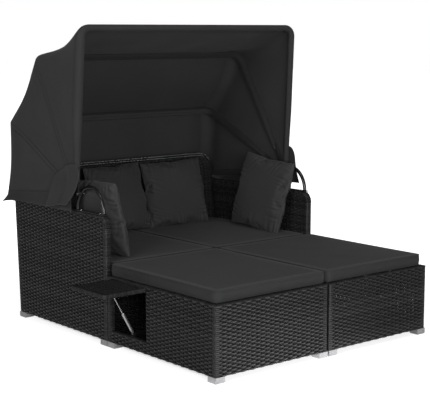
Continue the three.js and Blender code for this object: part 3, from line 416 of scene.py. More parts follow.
def edge_profile(width, lap, radius, far_lap=None):
    """Section of a winding over an edge of a wall: up one face, round a corner, across the width,
    round the other corner and down the other face. Returns places across, heights over the edge
    and the outward direction; with far_lap 0 it stops on the top."""
    corner = np.linspace(0.0, math.pi / 2, 5)
    a = [[-width / 2], -width / 2 + radius - radius * np.cos(corner)]
    b = [[-lap], -radius + radius * np.sin(corner)]
    na = [[-1.0], -np.cos(corner)]
    nb = [[0.0], np.sin(corner)]
    if far_lap == 0:
        a.append([width / 2])
        b.append([0.0])
        na.append([0.0])
        nb.append([1.0])
    else:
        a.append((width / 2 - radius + radius * np.cos(corner))[::-1])
        b.append((-radius + radius * np.sin(corner))[::-1])
        na.append(np.cos(corner)[::-1])
        nb.append(np.sin(corner)[::-1])
        a.append([width / 2])
        b.append([-(far_lap or lap)])
        na.append([1.0])
        nb.append([0.0])
    return [np.concatenate(part) for part in (a, b, na, nb)]


def windings(path, rise, sideways, profile):
    """Strands wound crosswise over an edge: at each pitch along the path of points, a ribbon follows
    the profile, measured along the sideways and rise directions there. Every other one lies a
    little higher."""
    path = np.asarray(path, float)
    reach = np.concatenate([[0.0], np.cumsum(np.linalg.norm(np.diff(path, axis=0), axis=1))])
    count = max(int(round(reach[-1] / STRAND_PITCH)), 1)
    s = (np.arange(count) + 0.5) * reach[-1] / count
    middle = np.stack([np.interp(s, reach, path[:, i]) for i in range(3)], axis=-1)
    rise = unit(np.stack([np.interp(s, reach, rise[:, i]) for i in range(3)], axis=-1))
    sideways = unit(np.stack([np.interp(s, reach, sideways[:, i]) for i in range(3)], axis=-1))
    a, b, na, nb = profile
    out = na[None, :, None] * sideways[:, None] + nb[None, :, None] * rise[:, None]
    lift = WINDING_STEP * (-1.0) ** np.arange(count) - WINDING_SUNK
    centre = (middle[:, None] + a[None, :, None] * sideways[:, None] + b[None, :, None] * rise[:, None]
              + out * lift[:, None, None])
    heading = np.cross(rise, sideways)[:, None]
    length = np.concatenate([[0.0], np.cumsum(np.hypot(np.diff(a), np.diff(b)))])
    return strands(centre, heading, out, length[None, :] + np.zeros((count, 1)),
                   STRAND_WIDTH, STRAND_CROWN)


def cane_material():
    """Black plastic cane: each strand has its own tone and fine grooves along it. Where it stands out over
    a stake it is rubbed smoother; deep in the weave it is rougher and its reflection is turned down, a
    painted shade for the hollows."""
    made, tree, skin = shader("black_plastic_cane")
    uv = node(tree, "ShaderNodeUVMap", uv_map="piece").outputs["UV"]
    parts = node(tree, "ShaderNodeSeparateXYZ", Vector=uv)
    tone = node(tree, "ShaderNodeAttribute", attribute_name="tone").outputs["Fac"]
    grooves = maths(tree, "SINE", maths(tree, "MULTIPLY", parts.outputs["Y"], 37.7))
    stretched = node(tree, "ShaderNodeMapping", Vector=uv, Scale=(60.0, 6.0, 1.0))
    streak = node(tree, "ShaderNodeTexNoise", Vector=stretched.outputs["Vector"], Scale=1.0, Detail=3.0)
    tint = ramp(tree, maths(tree, "MULTIPLY_ADD", tone, 0.6, streak.outputs["Fac"]), [
        (0.45, (0.0130, 0.0130, 0.0138)),
        (0.8, (0.0210, 0.0209, 0.0221)),
        (1.1, (0.0300, 0.0298, 0.0312)),
    ])
    crest = node(tree, "ShaderNodeAttribute", attribute_name="crest").outputs["Fac"]
    relief = node(tree, "ShaderNodeBump", Height=grooves, Strength=0.25, Distance=0.0002)
    # Painted shade: the specular level falls from the crests into the hollows of the weave, while the
    # roughness rises there.
    fill(tree, skin, Base_Color=tint, Roughness=ranged(tree, crest, (0.35, 0.9), (0.55, 0.26)),
         Specular_IOR_Level=ranged(tree, crest, (0.3, 0.95), (0.10, 0.38)),
         Normal=relief.outputs["Normal"])
    return made


cane = cane_material()


def side_panel(word, side):
    """One arm of the sofa: rows run from the back panel along the inner face, round the front edge,
    along the outer face and round the rear edge. Towards the top its front draws back as a quarter
    circle, and its rear leans back with height, more the further back it is."""
    low, high = box_of(f"{word}_side_weave")
    sofa_depth, arm_round, falloff, upright = 0.842, 0.060, 0.16, 0.1
    front = low[1]
    inner, outer = (high[0], low[0]) if side < 0 else (low[0], high[0])
    rear = front + sofa_depth
    bottom, top = low[2], high[2]
    corners = [(inner, rear - PANEL_THICK), (inner, front), (outer, front), (outer, rear), (inner, rear)]
    if side < 0:
        corners = corners[::-1]
    at, length = plan_path(corners, PANEL_CORNER, False)

    def shape(points, q):
        y = points[..., 1] - front
        z = points[..., 2]
        over = np.clip(z - (top - arm_round), 0.0, arm_round)
        drawn = arm_round - np.sqrt(np.maximum(arm_round**2 - over**2, 0.0))
        shifted = points.copy()
        shifted[..., 1] += drawn * np.clip(1.0 - y / falloff, 0.0, 1.0)
        share = np.clip((y - upright) / (sofa_depth - upright), 0.0, 1.0)
        shifted[..., 1] += SOFA_LEAN * (z - bottom) * share
        return shifted

    turn = np.linspace(math.pi, math.pi / 2, 12)
    path_y = np.append(front + arm_round + arm_round * np.cos(turn), rear + SOFA_LEAN * (top - bottom))
    path_z = np.append(top - arm_round + arm_round * np.sin(turn), top)
    path = np.stack([np.full(len(path_y), (inner + outer) / 2), path_y, path_z], axis=-1)
    rise = np.stack([np.zeros(len(path)), np.append(np.cos(turn), 0.0), np.append(np.sin(turn), 1.0)],
                    axis=-1)
    sideways = np.tile([float(side), 0.0, 0.0], (len(path), 1))
    made = woven(f"{word}_side_cane", [
        level_rows(at, length, bottom, top - ROWS_STOP, None, shape),
        stakes(at, length, bottom, top - STAKES_STOP, None, shape),
        windings(path, rise, sideways, edge_profile(PANEL_THICK, EDGE_LAP, EDGE_ROUND)),
    ])
    dress(made, cane)
    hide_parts(f"{word}_side_weave")
    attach(made, "sofa")


side_panel("left", -1)
side_panel("right", 1)


BACK_CORNER = 0.095


def back_panel():
    """The back between the arms: rows run round it as a closed loop that leans back with height, and
    draw in at its two rounded top corners. Its front shows from the seat up."""
    low, high = box_of("back_weave")
    falloff, seat_level, faces_front = 0.20, 0.345, -0.5
    bottom, top = low[2], high[2]
    front, rear = low[1], low[1] + PANEL_THICK
    middle, half = (low[0] + high[0]) / 2, (high[0] - low[0]) / 2
    at, length = plan_path([(high[0], front), (high[0], rear), (low[0], rear), (low[0], front)],
                           PANEL_CORNER, True)

    def shape(points, q):
        x = points[..., 0] - middle
        z = points[..., 2]
        over = np.clip(z - (top - BACK_CORNER), 0.0, BACK_CORNER)
        drawn = BACK_CORNER - np.sqrt(np.maximum(BACK_CORNER**2 - over**2, 0.0))
        shifted = points.copy()
        near_end = np.clip((np.abs(x) - (half - falloff)) / falloff, 0.0, 1.0)
        shifted[..., 0] -= np.sign(x) * drawn * near_end
        shifted[..., 1] += SOFA_LEAN * (z - bottom)
        return shifted

    def keep(q, z):
        x, y, normal, far = at(q)
        return (normal[..., 1] > faces_front) | (z > seat_level)

    turn = np.linspace(0.0, math.pi / 2, 12)
    xs = np.concatenate([half - BACK_CORNER + BACK_CORNER * np.cos(turn),
                         (-half + BACK_CORNER - BACK_CORNER * np.cos(turn))[::-1]])
    corner_z = top - BACK_CORNER + BACK_CORNER * np.sin(turn)
    zs = np.concatenate([corner_z, corner_z[::-1]])
    upward = np.concatenate([np.sin(turn), np.sin(turn)[::-1]])
    outward = np.concatenate([np.cos(turn), -np.cos(turn)[::-1]])
    path = np.stack([middle + xs, (front + rear) / 2 + SOFA_LEAN * (zs - bottom), zs], axis=-1)
    rise = np.stack([outward, np.zeros(len(path)), upward], axis=-1)
    sideways = np.tile([0.0, 1.0, 0.0], (len(path), 1))
    made = woven("back_cane", [
        level_rows(at, length, bottom, top - ROWS_STOP, keep, shape, closed=True),
        stakes(at, length, bottom, top - STAKES_STOP, keep, shape, closed=True),
        windings(path, rise, sideways, edge_profile(PANEL_THICK, EDGE_LAP, EDGE_ROUND)),
    ])
    dress(made, cane)
    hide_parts("back_weave")
    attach(made, "sofa")


back_panel()


def apron():
    """The woven strip under the front of the seat, wound over its top edge to carry the deck."""
    low, high = box_of("front_apron")
    thick, lap, edge_round = 0.045, 0.010, 0.006
    at, length = plan_path([(low[0], low[1]), (high[0], low[1])], PANEL_CORNER, False)
    top_y = low[1] + thick / 2
    path = np.array([[low[0], top_y, high[2]], [high[0], top_y, high[2]]])
    rise = np.tile([0.0, 0.0, 1.0], (len(path), 1))
    sideways = np.tile([0.0, 1.0, 0.0], (len(path), 1))
    made = woven("front_apron_cane", [
        level_rows(at, length, low[2], high[2] - ROWS_STOP),
        stakes(at, length, low[2], high[2] - STAKES_STOP),
        windings(path, rise, sideways, edge_profile(thick, lap, edge_round, 0)),
    ])
    dress(made, cane)
    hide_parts("front_apron")
    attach(made, "sofa")


apron()


def ottoman(word, side):
    """One ottoman: rows run round it as a closed loop, left out where the table's opening is; the rim
    is wound inwards over the top, and the opening has wound reveals."""
    low, high = box_of(f"{word}_ottoman_weave")
    stile, opening, sill, lip, margin = 0.036, 0.286, 0.060, 0.008, 0.0054
    rim, rim_lap, rim_round = 0.042, 0.0065, 0.006
    reveal, reveal_lap, reveal_round = 0.022, 0.009, 0.005
    rows_stop, stakes_stop, faces_out = 0.004, 0.006, 0.7
    outer = low[0] if side < 0 else high[0]
    corners = [(low[0], low[1]), (high[0], low[1]), (high[0], high[1]), (low[0], high[1])]
    at, length = plan_path(corners, PANEL_CORNER, True)
    open_rear, open_front = high[1] - stile, high[1] - stile - opening
    open_low, open_high = low[2] + sill, high[2] - lip

    def keep(q, z):
        x, y, normal, far = at(q)
        in_opening = (normal[..., 0] * side > faces_out) & (y > open_front) & (y < open_rear)
        return ~(in_opening & (z > open_low - margin) & (z < open_high + margin))

    groups = [
        level_rows(at, length, low[2], high[2] - rows_stop, keep, closed=True),
        stakes(at, length, low[2], high[2] - stakes_stop, keep, closed=True),
    ]
    count = int(round(length / STRAND_PITCH))
    x, y, normal, far = at((np.arange(count) + 0.5) * length / count)
    a, b, na, nb = edge_profile(rim, rim_lap, rim_round, 0)
    a = a + rim / 2
    inward = np.append(-normal, np.zeros((count, 1)), axis=1)[:, None]
    up = np.array([0.0, 0.0, 1.0])
    base = np.stack([x, y, np.full(count, high[2])], axis=-1)[:, None]
    out = na[None, :, None] * inward + nb[None, :, None] * up
    lift = WINDING_STEP * (-1.0) ** np.arange(count) - WINDING_SUNK
    centre = base + a[None, :, None] * inward + b[None, :, None] * up + out * lift[:, None, None]
    heading = np.cross(inward, up)
    groups.append(strands(centre, heading, out, a[None, :] + np.zeros((count, 1)), STRAND_WIDTH,
                          STRAND_CROWN))
    ends = [
        ([outer, open_rear, open_low], [outer, open_rear, open_high], [0.0, -1.0, 0.0]),
        ([outer, open_front, open_high], [outer, open_front, open_low], [0.0, 1.0, 0.0]),
        ([outer, open_front, open_low], [outer, open_rear, open_low], [0.0, 0.0, 1.0]),
    ]
    inwards = np.array([-float(side), 0.0, 0.0])
    for start, stop, facing in ends:
        path = np.array([start, stop]) + inwards * reveal / 2
        groups.append(windings(path, np.tile(facing, (2, 1)), np.tile(inwards, (2, 1)),
                               edge_profile(reveal, reveal_lap, reveal_round, 0)))
    made = woven(f"{word}_ottoman_cane", groups)
    dress(made, cane)
    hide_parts(f"{word}_ottoman_weave")
    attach(made, f"{word}_ottoman")


ottoman("left", -1)
ottoman("right", 1)


# Decks and bottom boards
# A board covered with the same cane carries the pads of the seat and of each ottoman. A thin one
# closes each ottoman at the bottom and shows through the opening of its table.

def woven_board_material():
    """A board covered with cane, seen only at a distance: a chequer of crests along X and Y, darker in the
    hollows between them as painted shade.
    """
    made, tree, skin = shader("cane_board")
    place = node(tree, "ShaderNodeTexCoord").outputs["Object"]
    size = node(tree, "ShaderNodeMapping", Vector=place, Scale=(108.3, 216.6, 108.3))
    crests = crossed_sines(tree, size.outputs["Vector"])
    # Painted shade: the colour darkens with the relief, from the crests down into the hollows.
    tint = ramp(tree, crests, [(0.0, (0.006, 0.006, 0.0065)), (0.8, (0.015, 0.015, 0.016))])
    relief = node(tree, "ShaderNodeBump", Height=crests, Strength=0.8, Distance=0.0016)
    fill(tree, skin, Base_Color=tint, Roughness=0.36, Normal=relief.outputs["Normal"])
    return made


cane_board = woven_board_material()
for name in ("seat_deck", "left_ottoman_deck", "right_ottoman_deck"):
    dress(nodes[name], cane_board)


def rounded_slab(low, high, radius, steps=4):
    """A box with round edges: the unit cube's surface grid, pushed out by its direction from a core
    that is smaller by the radius on every side."""
    low, high = np.array(low, float), np.array(high, float)
    n = 2 * steps + 2
    share = np.concatenate([np.tan(np.linspace(-1, 0, steps + 1) * math.pi / 4),
                            np.tan(np.linspace(0, 1, steps + 1) * math.pi / 4)])
    core = np.concatenate([np.zeros(steps + 1), np.ones(steps + 1)])
    points, quads = [], []
    for axis in range(3):
        for side in (0, 1):
            a, b = [i for i in range(3) if i != axis]
            ball = np.zeros((n, n, 3))
            ball[..., a] = share[:, None]
            ball[..., b] = share[None, :]
            ball[..., axis] = 1 if side else -1
            ball = unit(ball)
            base = np.zeros((n, n, 3))
            base[..., a] = core[:, None]
            base[..., b] = core[None, :]
            base[..., axis] = side
            place = low + radius + base * (high - low - 2 * radius) + ball * radius
            index = np.arange(n * n).reshape(n, n) + sum(len(p) for p in points)
            faces = np.stack([index[:-1, :-1], index[1:, :-1], index[1:, 1:], index[:-1, 1:]], axis=-1)
            if (axis == 1) == bool(side):
                faces = faces[..., ::-1]
            points.append(place.reshape(-1, 3))
            quads.append(faces.reshape(-1, 4))
    points = np.concatenate(points)
    return points, np.concatenate(quads), points[:, :2].copy(), np.full((len(points), 2), 0.5)


def merged(made):
    """Joins the points of a mesh that lie together."""
    together = 2e-5
    shape = bmesh.new()
    shape.from_mesh(made.data)
    bmesh.ops.remove_doubles(shape, verts=shape.verts, dist=together)
    shape.to_mesh(made.data)
    shape.free()
    return made


def bottom_board(word):
    """A thin slab with round edges across the bottom of an ottoman, inside its cane."""
    low, high = box_of(f"{word}_ottoman_weave")
    inset, thick, edge_round = 0.005, 0.005, 0.0012
    start = [low[0] + inset, low[1] + inset, low[2]]
    stop = [high[0] - inset, high[1] - inset, low[2] + thick]
    made = merged(woven(f"{word}_ottoman_floor", [rounded_slab(start, stop, edge_round)]))
    dress(made, cane_board)
    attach(made, f"{word}_ottoman")


bottom_board("left")
bottom_board("right")


# Braid on the back's top edge
# Three round cords of the same black plastic are plaited and tacked along the top edge of the back,
# over its two rounded corners, and end behind the arms.

def closed_tube(path, radius, sideways, sides):
    """A round bar along a path: at each point a ring of radius lies across the path, measured from a
    sideways direction; a last ring of no size closes each end. Returns points, quads, UV and the
    two marks of a ribbon, with one tone for the whole bar."""
    no_size = 1e-5
    path = np.asarray(path, float)
    radius = np.broadcast_to(radius, len(path)).astype(float)
    sideways = np.broadcast_to(sideways, (len(path), 3))
    heading = np.gradient(path, axis=0)
    path, sideways, heading = [np.concatenate([line[:1], line, line[-1:]])
                               for line in (path, sideways, heading)]
    radius = np.concatenate([[no_size], radius, [no_size]])
    heading = unit(heading)
    sideways = unit(sideways - heading * np.sum(heading * sideways, axis=-1, keepdims=True))
    upward = np.cross(heading, sideways)
    turn = np.linspace(0.0, 2 * math.pi, sides, endpoint=False)
    ring = (np.cos(turn)[None, :, None] * sideways[:, None] + np.sin(turn)[None, :, None] * upward[:, None])
    points = path[:, None] + ring * radius[:, None, None]
    index = np.arange(points.shape[0] * sides).reshape(-1, sides)
    after = np.roll(index, -1, axis=1)
    quads = np.stack([index[:-1], after[:-1], after[1:], index[1:]], axis=-1).reshape(-1, 4)
    run = np.concatenate([[0.0], np.cumsum(np.linalg.norm(np.diff(path, axis=0), axis=1))])
    uv = np.stack(np.broadcast_arrays(run[:, None], turn[None] / (2 * math.pi)), axis=-1)
    marks = np.tile([chance.random(), 1.0], (points.shape[0] * sides, 1))
    return points.reshape(-1, 3), quads, uv.reshape(-1, 2), marks


cord_gloss = metal("black_plastic_cord", (0.016, 0.016, 0.017), (0.034, 0.034, 0.036), (0.22, 0.34),
                   0.0, 0.3, grain=500.0, coat=0.6)


def back_braid():
    """Each of three cords runs along the edge, swings up and down by the sine of its angle and in and
    out by the sine of twice that angle; the three are a third of a turn apart."""
    low, high = box_of("back_weave")
    turn_share, above = 0.62, 0.0095
    swing, heave, cord, period, sides = 0.0068, 0.0042, 0.0042, 0.072, 9
    bar_steps = 200
    middle = (low[0] + high[0]) / 2
    half = (high[0] - low[0]) / 2 - BACK_CORNER
    radius = BACK_CORNER + above
    turn = math.pi / 2 - math.pi / 2 * turn_share * np.linspace(1.0, 0.0, 30)
    straight = np.linspace(-half, half, bar_steps)[1:-1]
    level = np.ones(len(straight))
    x = np.concatenate([-half - radius * np.cos(turn), straight, (half + radius * np.cos(turn))[::-1]])
    rise_x = np.concatenate([-np.cos(turn), 0.0 * level, np.cos(turn)[::-1]])
    rise_z = np.concatenate([np.sin(turn), level, np.sin(turn)[::-1]])
    z = radius * rise_z + high[2] - BACK_CORNER
    run = np.concatenate([[0.0], np.cumsum(np.hypot(np.diff(x), np.diff(z)))])
    s = np.linspace(0.0, run[-1], 520)
    path = np.stack([middle + np.interp(s, run, x), np.zeros(len(s)), np.interp(s, run, z)], axis=-1)
    path[:, 1] = low[1] + PANEL_THICK / 2 + SOFA_LEAN * (path[:, 2] - low[2])
    rise = unit(np.stack([np.interp(s, run, rise_x), np.zeros(len(s)), np.interp(s, run, rise_z)], axis=-1))
    sideways = np.tile([0.0, 1.0, 0.0], (len(s), 1))
    cords = []
    for third in range(3):
        angle = 2 * math.pi * (s / period + third / 3)
        up, inward = swing * np.sin(angle), heave * np.sin(2 * angle)
        centre = path + rise * up[:, None] + sideways * inward[:, None]
        cords.append(closed_tube(centre, cord, sideways, sides))
    made = woven("back_braid_cords", cords)
    dress(made, cord_gloss)
    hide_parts("back_braid")
    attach(made, "sofa")


back_braid()


# Seat pads
# Four foam slabs in loose covers of charcoal polyester. Each cover has a boxed side strip joined to
# the top and bottom by a raised seam; the sides pull in a little between the corners.

def thread_weave():
    """Plain weave of a cloth: two crossed sines of the place on the cloth give the threads' height,
    and noise at two sizes gives the uneven dye."""
    made, start, end = group(
        "thread_weave",
        [("Vector", "NodeSocketVector", None), ("Threads", "NodeSocketFloat", 2600.0),
         ("Mottle Size", "NodeSocketFloat", 260.0)],
        [("Height", "NodeSocketFloat"), ("Mottle", "NodeSocketFloat"), ("Cloud", "NodeSocketFloat")],
    )
    size = node(made, "ShaderNodeVectorMath", operation="SCALE")
    made.links.new(start.outputs["Vector"], size.inputs[0])
    made.links.new(start.outputs["Threads"], size.inputs["Scale"])
    fine = node(made, "ShaderNodeTexNoise", Vector=start.outputs["Vector"],
                Scale=start.outputs["Mottle Size"], Detail=4.0, Roughness=0.7)
    broad = node(made, "ShaderNodeTexNoise", Vector=start.outputs["Vector"], Scale=5.0, Detail=3.0)
    fill(made, end, Height=crossed_sines(made, size.outputs["Vector"]), Mottle=fine.outputs["Fac"],
         Cloud=broad.outputs["Fac"])
    return made


weave_group = thread_weave()


def cloth_finish(name, dark, light, rough=0.88, crease=0.0, fold=0.2, seam=1.9):
    """Charcoal cloth: mottled yarn, thread relief, a faint sheen, painted shade in the hollows of its folds
    and a painted highlight on their ridges, and where the attribute named stitch is 1, the light yarn seam
    times as pale: dark thread and tape, and on one sleeve painted shade, where seam is small, and a painted
    highlight along the seams where it is large."""
    made, tree, skin = shader(name)
    uv = node(tree, "ShaderNodeUVMap", uv_map="piece").outputs["UV"]
    weave = node(tree, "ShaderNodeGroup", node_tree=weave_group, Vector=uv)
    dye = maths(tree, "MULTIPLY_ADD", weave.outputs["Cloud"], 0.5, weave.outputs["Mottle"])
    yarn = ramp(tree, dye, [(0.55, dark), (0.95, light)])
    stitch = node(tree, "ShaderNodeAttribute", attribute_name="stitch").outputs["Fac"]
    # Painted shade and highlight: by the mesh's pointiness the yarn is darkened in the hollows of folds and
    # lightened on their ridges, by fold either way.
    folds = node(tree, "ShaderNodeNewGeometry").outputs["Pointiness"]
    depth = ranged(tree, folds, (0.47, 0.53), (1.0 - fold, 1.0 + fold))
    yarn_with_painted_folds = node(tree, "ShaderNodeVectorMath", operation="SCALE")
    tree.links.new(yarn, yarn_with_painted_folds.inputs[0])
    tree.links.new(depth, yarn_with_painted_folds.inputs["Scale"])
    # Where stitch is 1 the colour becomes the light yarn times seam: dark thread and tape on the hood
    # cloth, painted shade over one sleeve, and a painted highlight along the seams of pads and pillows.
    sewn = node(tree, "ShaderNodeMix", data_type="RGBA")
    tree.links.new(stitch, sewn.inputs[0])
    tree.links.new(yarn_with_painted_folds.outputs["Vector"], sewn.inputs[6])
    sewn.inputs[7].default_value = (light[0] * seam, light[1] * seam, light[2] * seam, 1.0)
    threads = node(tree, "ShaderNodeBump", Height=weave.outputs["Height"], Strength=0.35, Distance=0.0003)
    soft = node(tree, "ShaderNodeTexNoise", Vector=uv, Scale=26.0, Detail=3.0)
    creased = node(tree, "ShaderNodeBump", Height=soft.outputs["Fac"], Strength=crease, Distance=0.004,
                   Normal=threads.outputs["Normal"])
    fill(tree, skin, Base_Color=sewn.outputs[2], Roughness=rough, Sheen_Weight=0.04,
         Sheen_Roughness=0.45, Normal=creased.outputs["Normal"])
    return made


# Painted shade: the pads' cloth is a darker copy of the pillows' charcoal cloth, keeping the pads' lit tops
# dim; seam=2.3 makes their seams a painted highlight.
shaded_pad_cloth = cloth_finish("charcoal_pad_cloth", (0.014, 0.014, 0.0145), (0.0225, 0.0225, 0.0235),
                         crease=0.12, seam=2.3)


def stitched(made, values):
    """Stores on each point how much thread or tape shows there."""
    mark = made.data.attributes.new("stitch", "FLOAT", "POINT")
    mark.data.foreach_set("value", np.asarray(values, np.float32).ravel())


def grid_quads(rows, columns, wrap=False):
    """Faces of a grid of points, closed from its last column to its first where it wraps."""
    index = np.arange(rows * columns).reshape(rows, columns)
    if wrap:
        index = np.concatenate([index, index[:, :1]], axis=1)
    quads = np.stack([index[:-1, :-1], index[:-1, 1:], index[1:, 1:], index[1:, :-1]], axis=-1)
    return quads.reshape(-1, 4)


def ripple(u, v, seed, waves=7, slow=3.0, fast=11.0):
    """Gentle unevenness between -1 and 1: a mean of sines in random directions over the surface."""
    draw = np.random.default_rng(seed)
    total = np.zeros(np.broadcast(u, v).shape)
    for angle, rate, start in zip(draw.random(waves) * math.pi, slow + draw.random(waves) * (fast - slow),
                                  draw.random(waves) * 2 * math.pi):
        total += np.sin(2 * math.pi * rate * (u * math.cos(angle) + v * math.sin(angle)) + start)
    return total / math.sqrt(waves)


def seat_pad(name, body, seed):
    """A boxed pad in the space of its node. Rings of points run from the middle of the bottom, out to
    its edge, up the side strip over two raised seams, and in over the crown to the middle of the top:
    ring k lies on a rounded rectangle drawn in by its inset, at its height, and the top rises as
    (1 - u^2)(1 - v^2) over its edge."""
    low, high = box_of(f"{name}_cushion")
    around, strip_rings, top_rings = 220, 13, 25
    corner_round, edge, crown, draw_in, hollow = 0.030, 0.007, 0.0075, 0.004, 0.0030
    side_gap, under_gap, over_gap, unevenness = 0.0008, 0.0004, 0.001, 0.0009
    crown_below, faces_side, settled, crowded = 0.55, 0.7, 0.02, 0.9
    half = (high[:2] - low[:2]) / 2 - side_gap
    centre = (high[:2] + low[:2]) / 2
    bottom = low[2] + under_gap
    seam_top = high[2] - crown * crown_below - over_gap
    at, length = plan_path([(-half[0], -half[1]), (half[0], -half[1]), (half[0], half[1]),
                            (-half[0], half[1])], corner_round, True)
    q = np.linspace(0.0, length, around, endpoint=False)
    x, y, normal, far = at(q)
    along = np.where(np.abs(normal[:, 0]) > faces_side, y / half[1], x / half[0])
    drawn = draw_in * (1 - np.clip(np.abs(along), 0, 1) ** 2)
    rise = np.linspace(0.0, 1.0, strip_rings)
    strip_z = bottom + edge + (seam_top - bottom - 2 * edge) * rise
    strip_in = hollow * (2 * rise - 1) ** 2
    low_edge_in = [0.060, 0.020, 0.0075, 0.0030, 0.0014]
    low_edge_z = [0.0, 0.0, 0.0008, 0.0030, 0.0052]
    top_edge_in = [0.0026, 0.0004, 0.0010, 0.0045, 0.0080, 0.0150, 0.0280]
    top_edge_z = [-edge + 0.0010, -0.0048, -0.0022, -0.0012, -0.0007, -0.0002, 0.0]
    inset = np.concatenate([low_edge_in, strip_in, top_edge_in])
    height = np.concatenate([bottom + np.array(low_edge_z), strip_z, seam_top + np.array(top_edge_z)])
    puff = np.zeros(len(inset))
    puff[len(low_edge_in):len(low_edge_in) + strip_rings] = np.sin(np.pi * rise)
    tug = (ripple(q[None, :], height[:, None] * 2.0, seed, waves=9, slow=4.0, fast=16.0) * unevenness
           * puff[:, None])
    px = x[None, :] - normal[None, :, 0] * (inset[:, None] + drawn + tug)
    py = y[None, :] - normal[None, :, 1] * (inset[:, None] + drawn + tug)
    pz = np.broadcast_to(height[:, None], px.shape)
    shares = np.linspace(1.0, 0.0, top_rings + 1)[1:] ** crowded
    tx, ty = shares[:, None] * px[-1], shares[:, None] * py[-1]
    dome = (1 - (tx / half[0]) ** 2) * (1 - (ty / half[1]) ** 2)
    waves = (unevenness * ripple(tx, ty, seed + 50, waves=8, slow=1.0, fast=5.0)
             * np.sqrt(np.clip(dome, 0, 1)))
    tz = seam_top + crown * (dome - settled) + waves
    rings_x = np.concatenate([[px[0] * 0.5], px, tx])
    rings_y = np.concatenate([[py[0] * 0.5], py, ty])
    rings_z = np.concatenate([[pz[0]], pz, tz])
    rings = len(rings_z)
    points = np.stack([rings_x + centre[0], rings_y + centre[1], rings_z], axis=-1).reshape(-1, 3)
    strip = np.zeros(rings, bool)
    strip[len(low_edge_in) - 1:-top_rings] = True
    flat_uv = np.stack([rings_x, rings_y], axis=-1)
    side_uv = np.stack(np.broadcast_arrays(q[None, :], rings_z), axis=-1)
    uv = np.where(strip[:, None, None], side_uv, flat_uv).reshape(-1, 2)
    made = mesh_from(f"{name}_pad", points, grid_quads(rings, around, True), uv)
    low_seam, top_seam = len(low_edge_in) + 2, rings - top_rings - 2
    # Painted highlight: the seams, most of all the top one on the rounded edge, take the pale seam colour
    # of the pads' cloth.
    seam_highlight = np.zeros(rings)
    seam_highlight[[low_seam, top_seam - 1, top_seam, top_seam + 1]] = [0.10, 0.60, 1.00, 0.60]
    stitched(made, np.broadcast_to(seam_highlight[:, None], (rings, around)))
    close_ends(made, around, rings)
    dress(made, shaded_pad_cloth)
    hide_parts(f"{name}_cushion")
    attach(made, body)


def close_ends(made, around, rings):
    """Closes the first ring of a ringed mesh with one flat face, and draws the last, which has no
    size, together into one point."""
    shape = bmesh.new()
    shape.from_mesh(made.data)
    shape.verts.ensure_lookup_table()
    shape.faces.new([shape.verts[i] for i in range(around)][::-1]).smooth = True
    last = (rings - 1) * around
    bmesh.ops.remove_doubles(shape, verts=[shape.verts[last + i] for i in range(around)], dist=1e-5)
    bmesh.ops.recalc_face_normals(shape, faces=shape.faces)
    shape.to_mesh(made.data)
    shape.free()


seat_pad("left_seat", "sofa", 1)
seat_pad("right_seat", "sofa", 2)
seat_pad("left_ottoman", "left_ottoman", 3)
seat_pad("right_ottoman", "right_ottoman", 4)


# Scatter pillows
# Four square pillows in the same charcoal cloth, closed by a plain seam round a knife edge. The
# filling rounds the middle and puckers the cloth along the seam and at the corners.

SHEET_HALF = 0.204
SECOND_SHEET_PLACE = 0.6


def sewn_sheets(seed):
    """Two sheets joined at their edges, half filled, square but cut in by 5 % at the corners so that
    the filled edges lie straighter: at u, v in -1 to 1 each stands off the middle plane by the square
    root of (1 - u^2)(1 - v^2), plus slight seeded unevenness. Returns the points, the faces, the flat
    UV and which points lie on the seam."""
    count, thick, cut_in, unevenness, calm_edge = 64, 0.090, 0.05, 0.003, 6
    place = np.linspace(-1, 1, count)
    u, v = np.meshgrid(place, place, indexing="ij")
    fill = thick / 2 * np.sqrt(np.clip((1 - u**2) * (1 - v**2), 0, 1))
    across, up = SHEET_HALF * u * (1 - cut_in * v**2), SHEET_HALF * v * (1 - cut_in * u**2)
    inside = np.clip((1 - np.maximum(np.abs(u), np.abs(v))) * calm_edge, 0, 1)
    sheets = []
    for side in (1, -1):
        bumps = unevenness * inside * ripple(u, v, seed + side, waves=9, slow=0.3, fast=1.6)
        sheets.append(np.stack([across, -side * (fill + bumps), up], axis=-1))
    index = np.arange(count * count).reshape(count, count)
    rim = np.zeros((count, count), bool)
    rim[[0, -1], :] = True
    rim[:, [0, -1]] = True
    second = np.where(rim, index, index + count * count)
    front = np.stack([index[:-1, :-1], index[1:, :-1], index[1:, 1:], index[:-1, 1:]], axis=-1)
    rear = np.stack([second[:-1, :-1], second[:-1, 1:], second[1:, 1:], second[1:, :-1]], axis=-1)
    quads = np.concatenate([front.reshape(-1, 4), rear.reshape(-1, 4)])
    points = np.concatenate([sheets[0].reshape(-1, 3), sheets[1].reshape(-1, 3)])
    flat = np.stack([u, v], axis=-1).reshape(-1, 2) * SHEET_HALF
    used, quads = np.unique(quads, return_inverse=True)
    uv = np.concatenate([flat, flat + SECOND_SHEET_PLACE])[used]
    return points[used], quads.reshape(-1, 4), uv, np.append(rim, np.zeros_like(rim))[used]


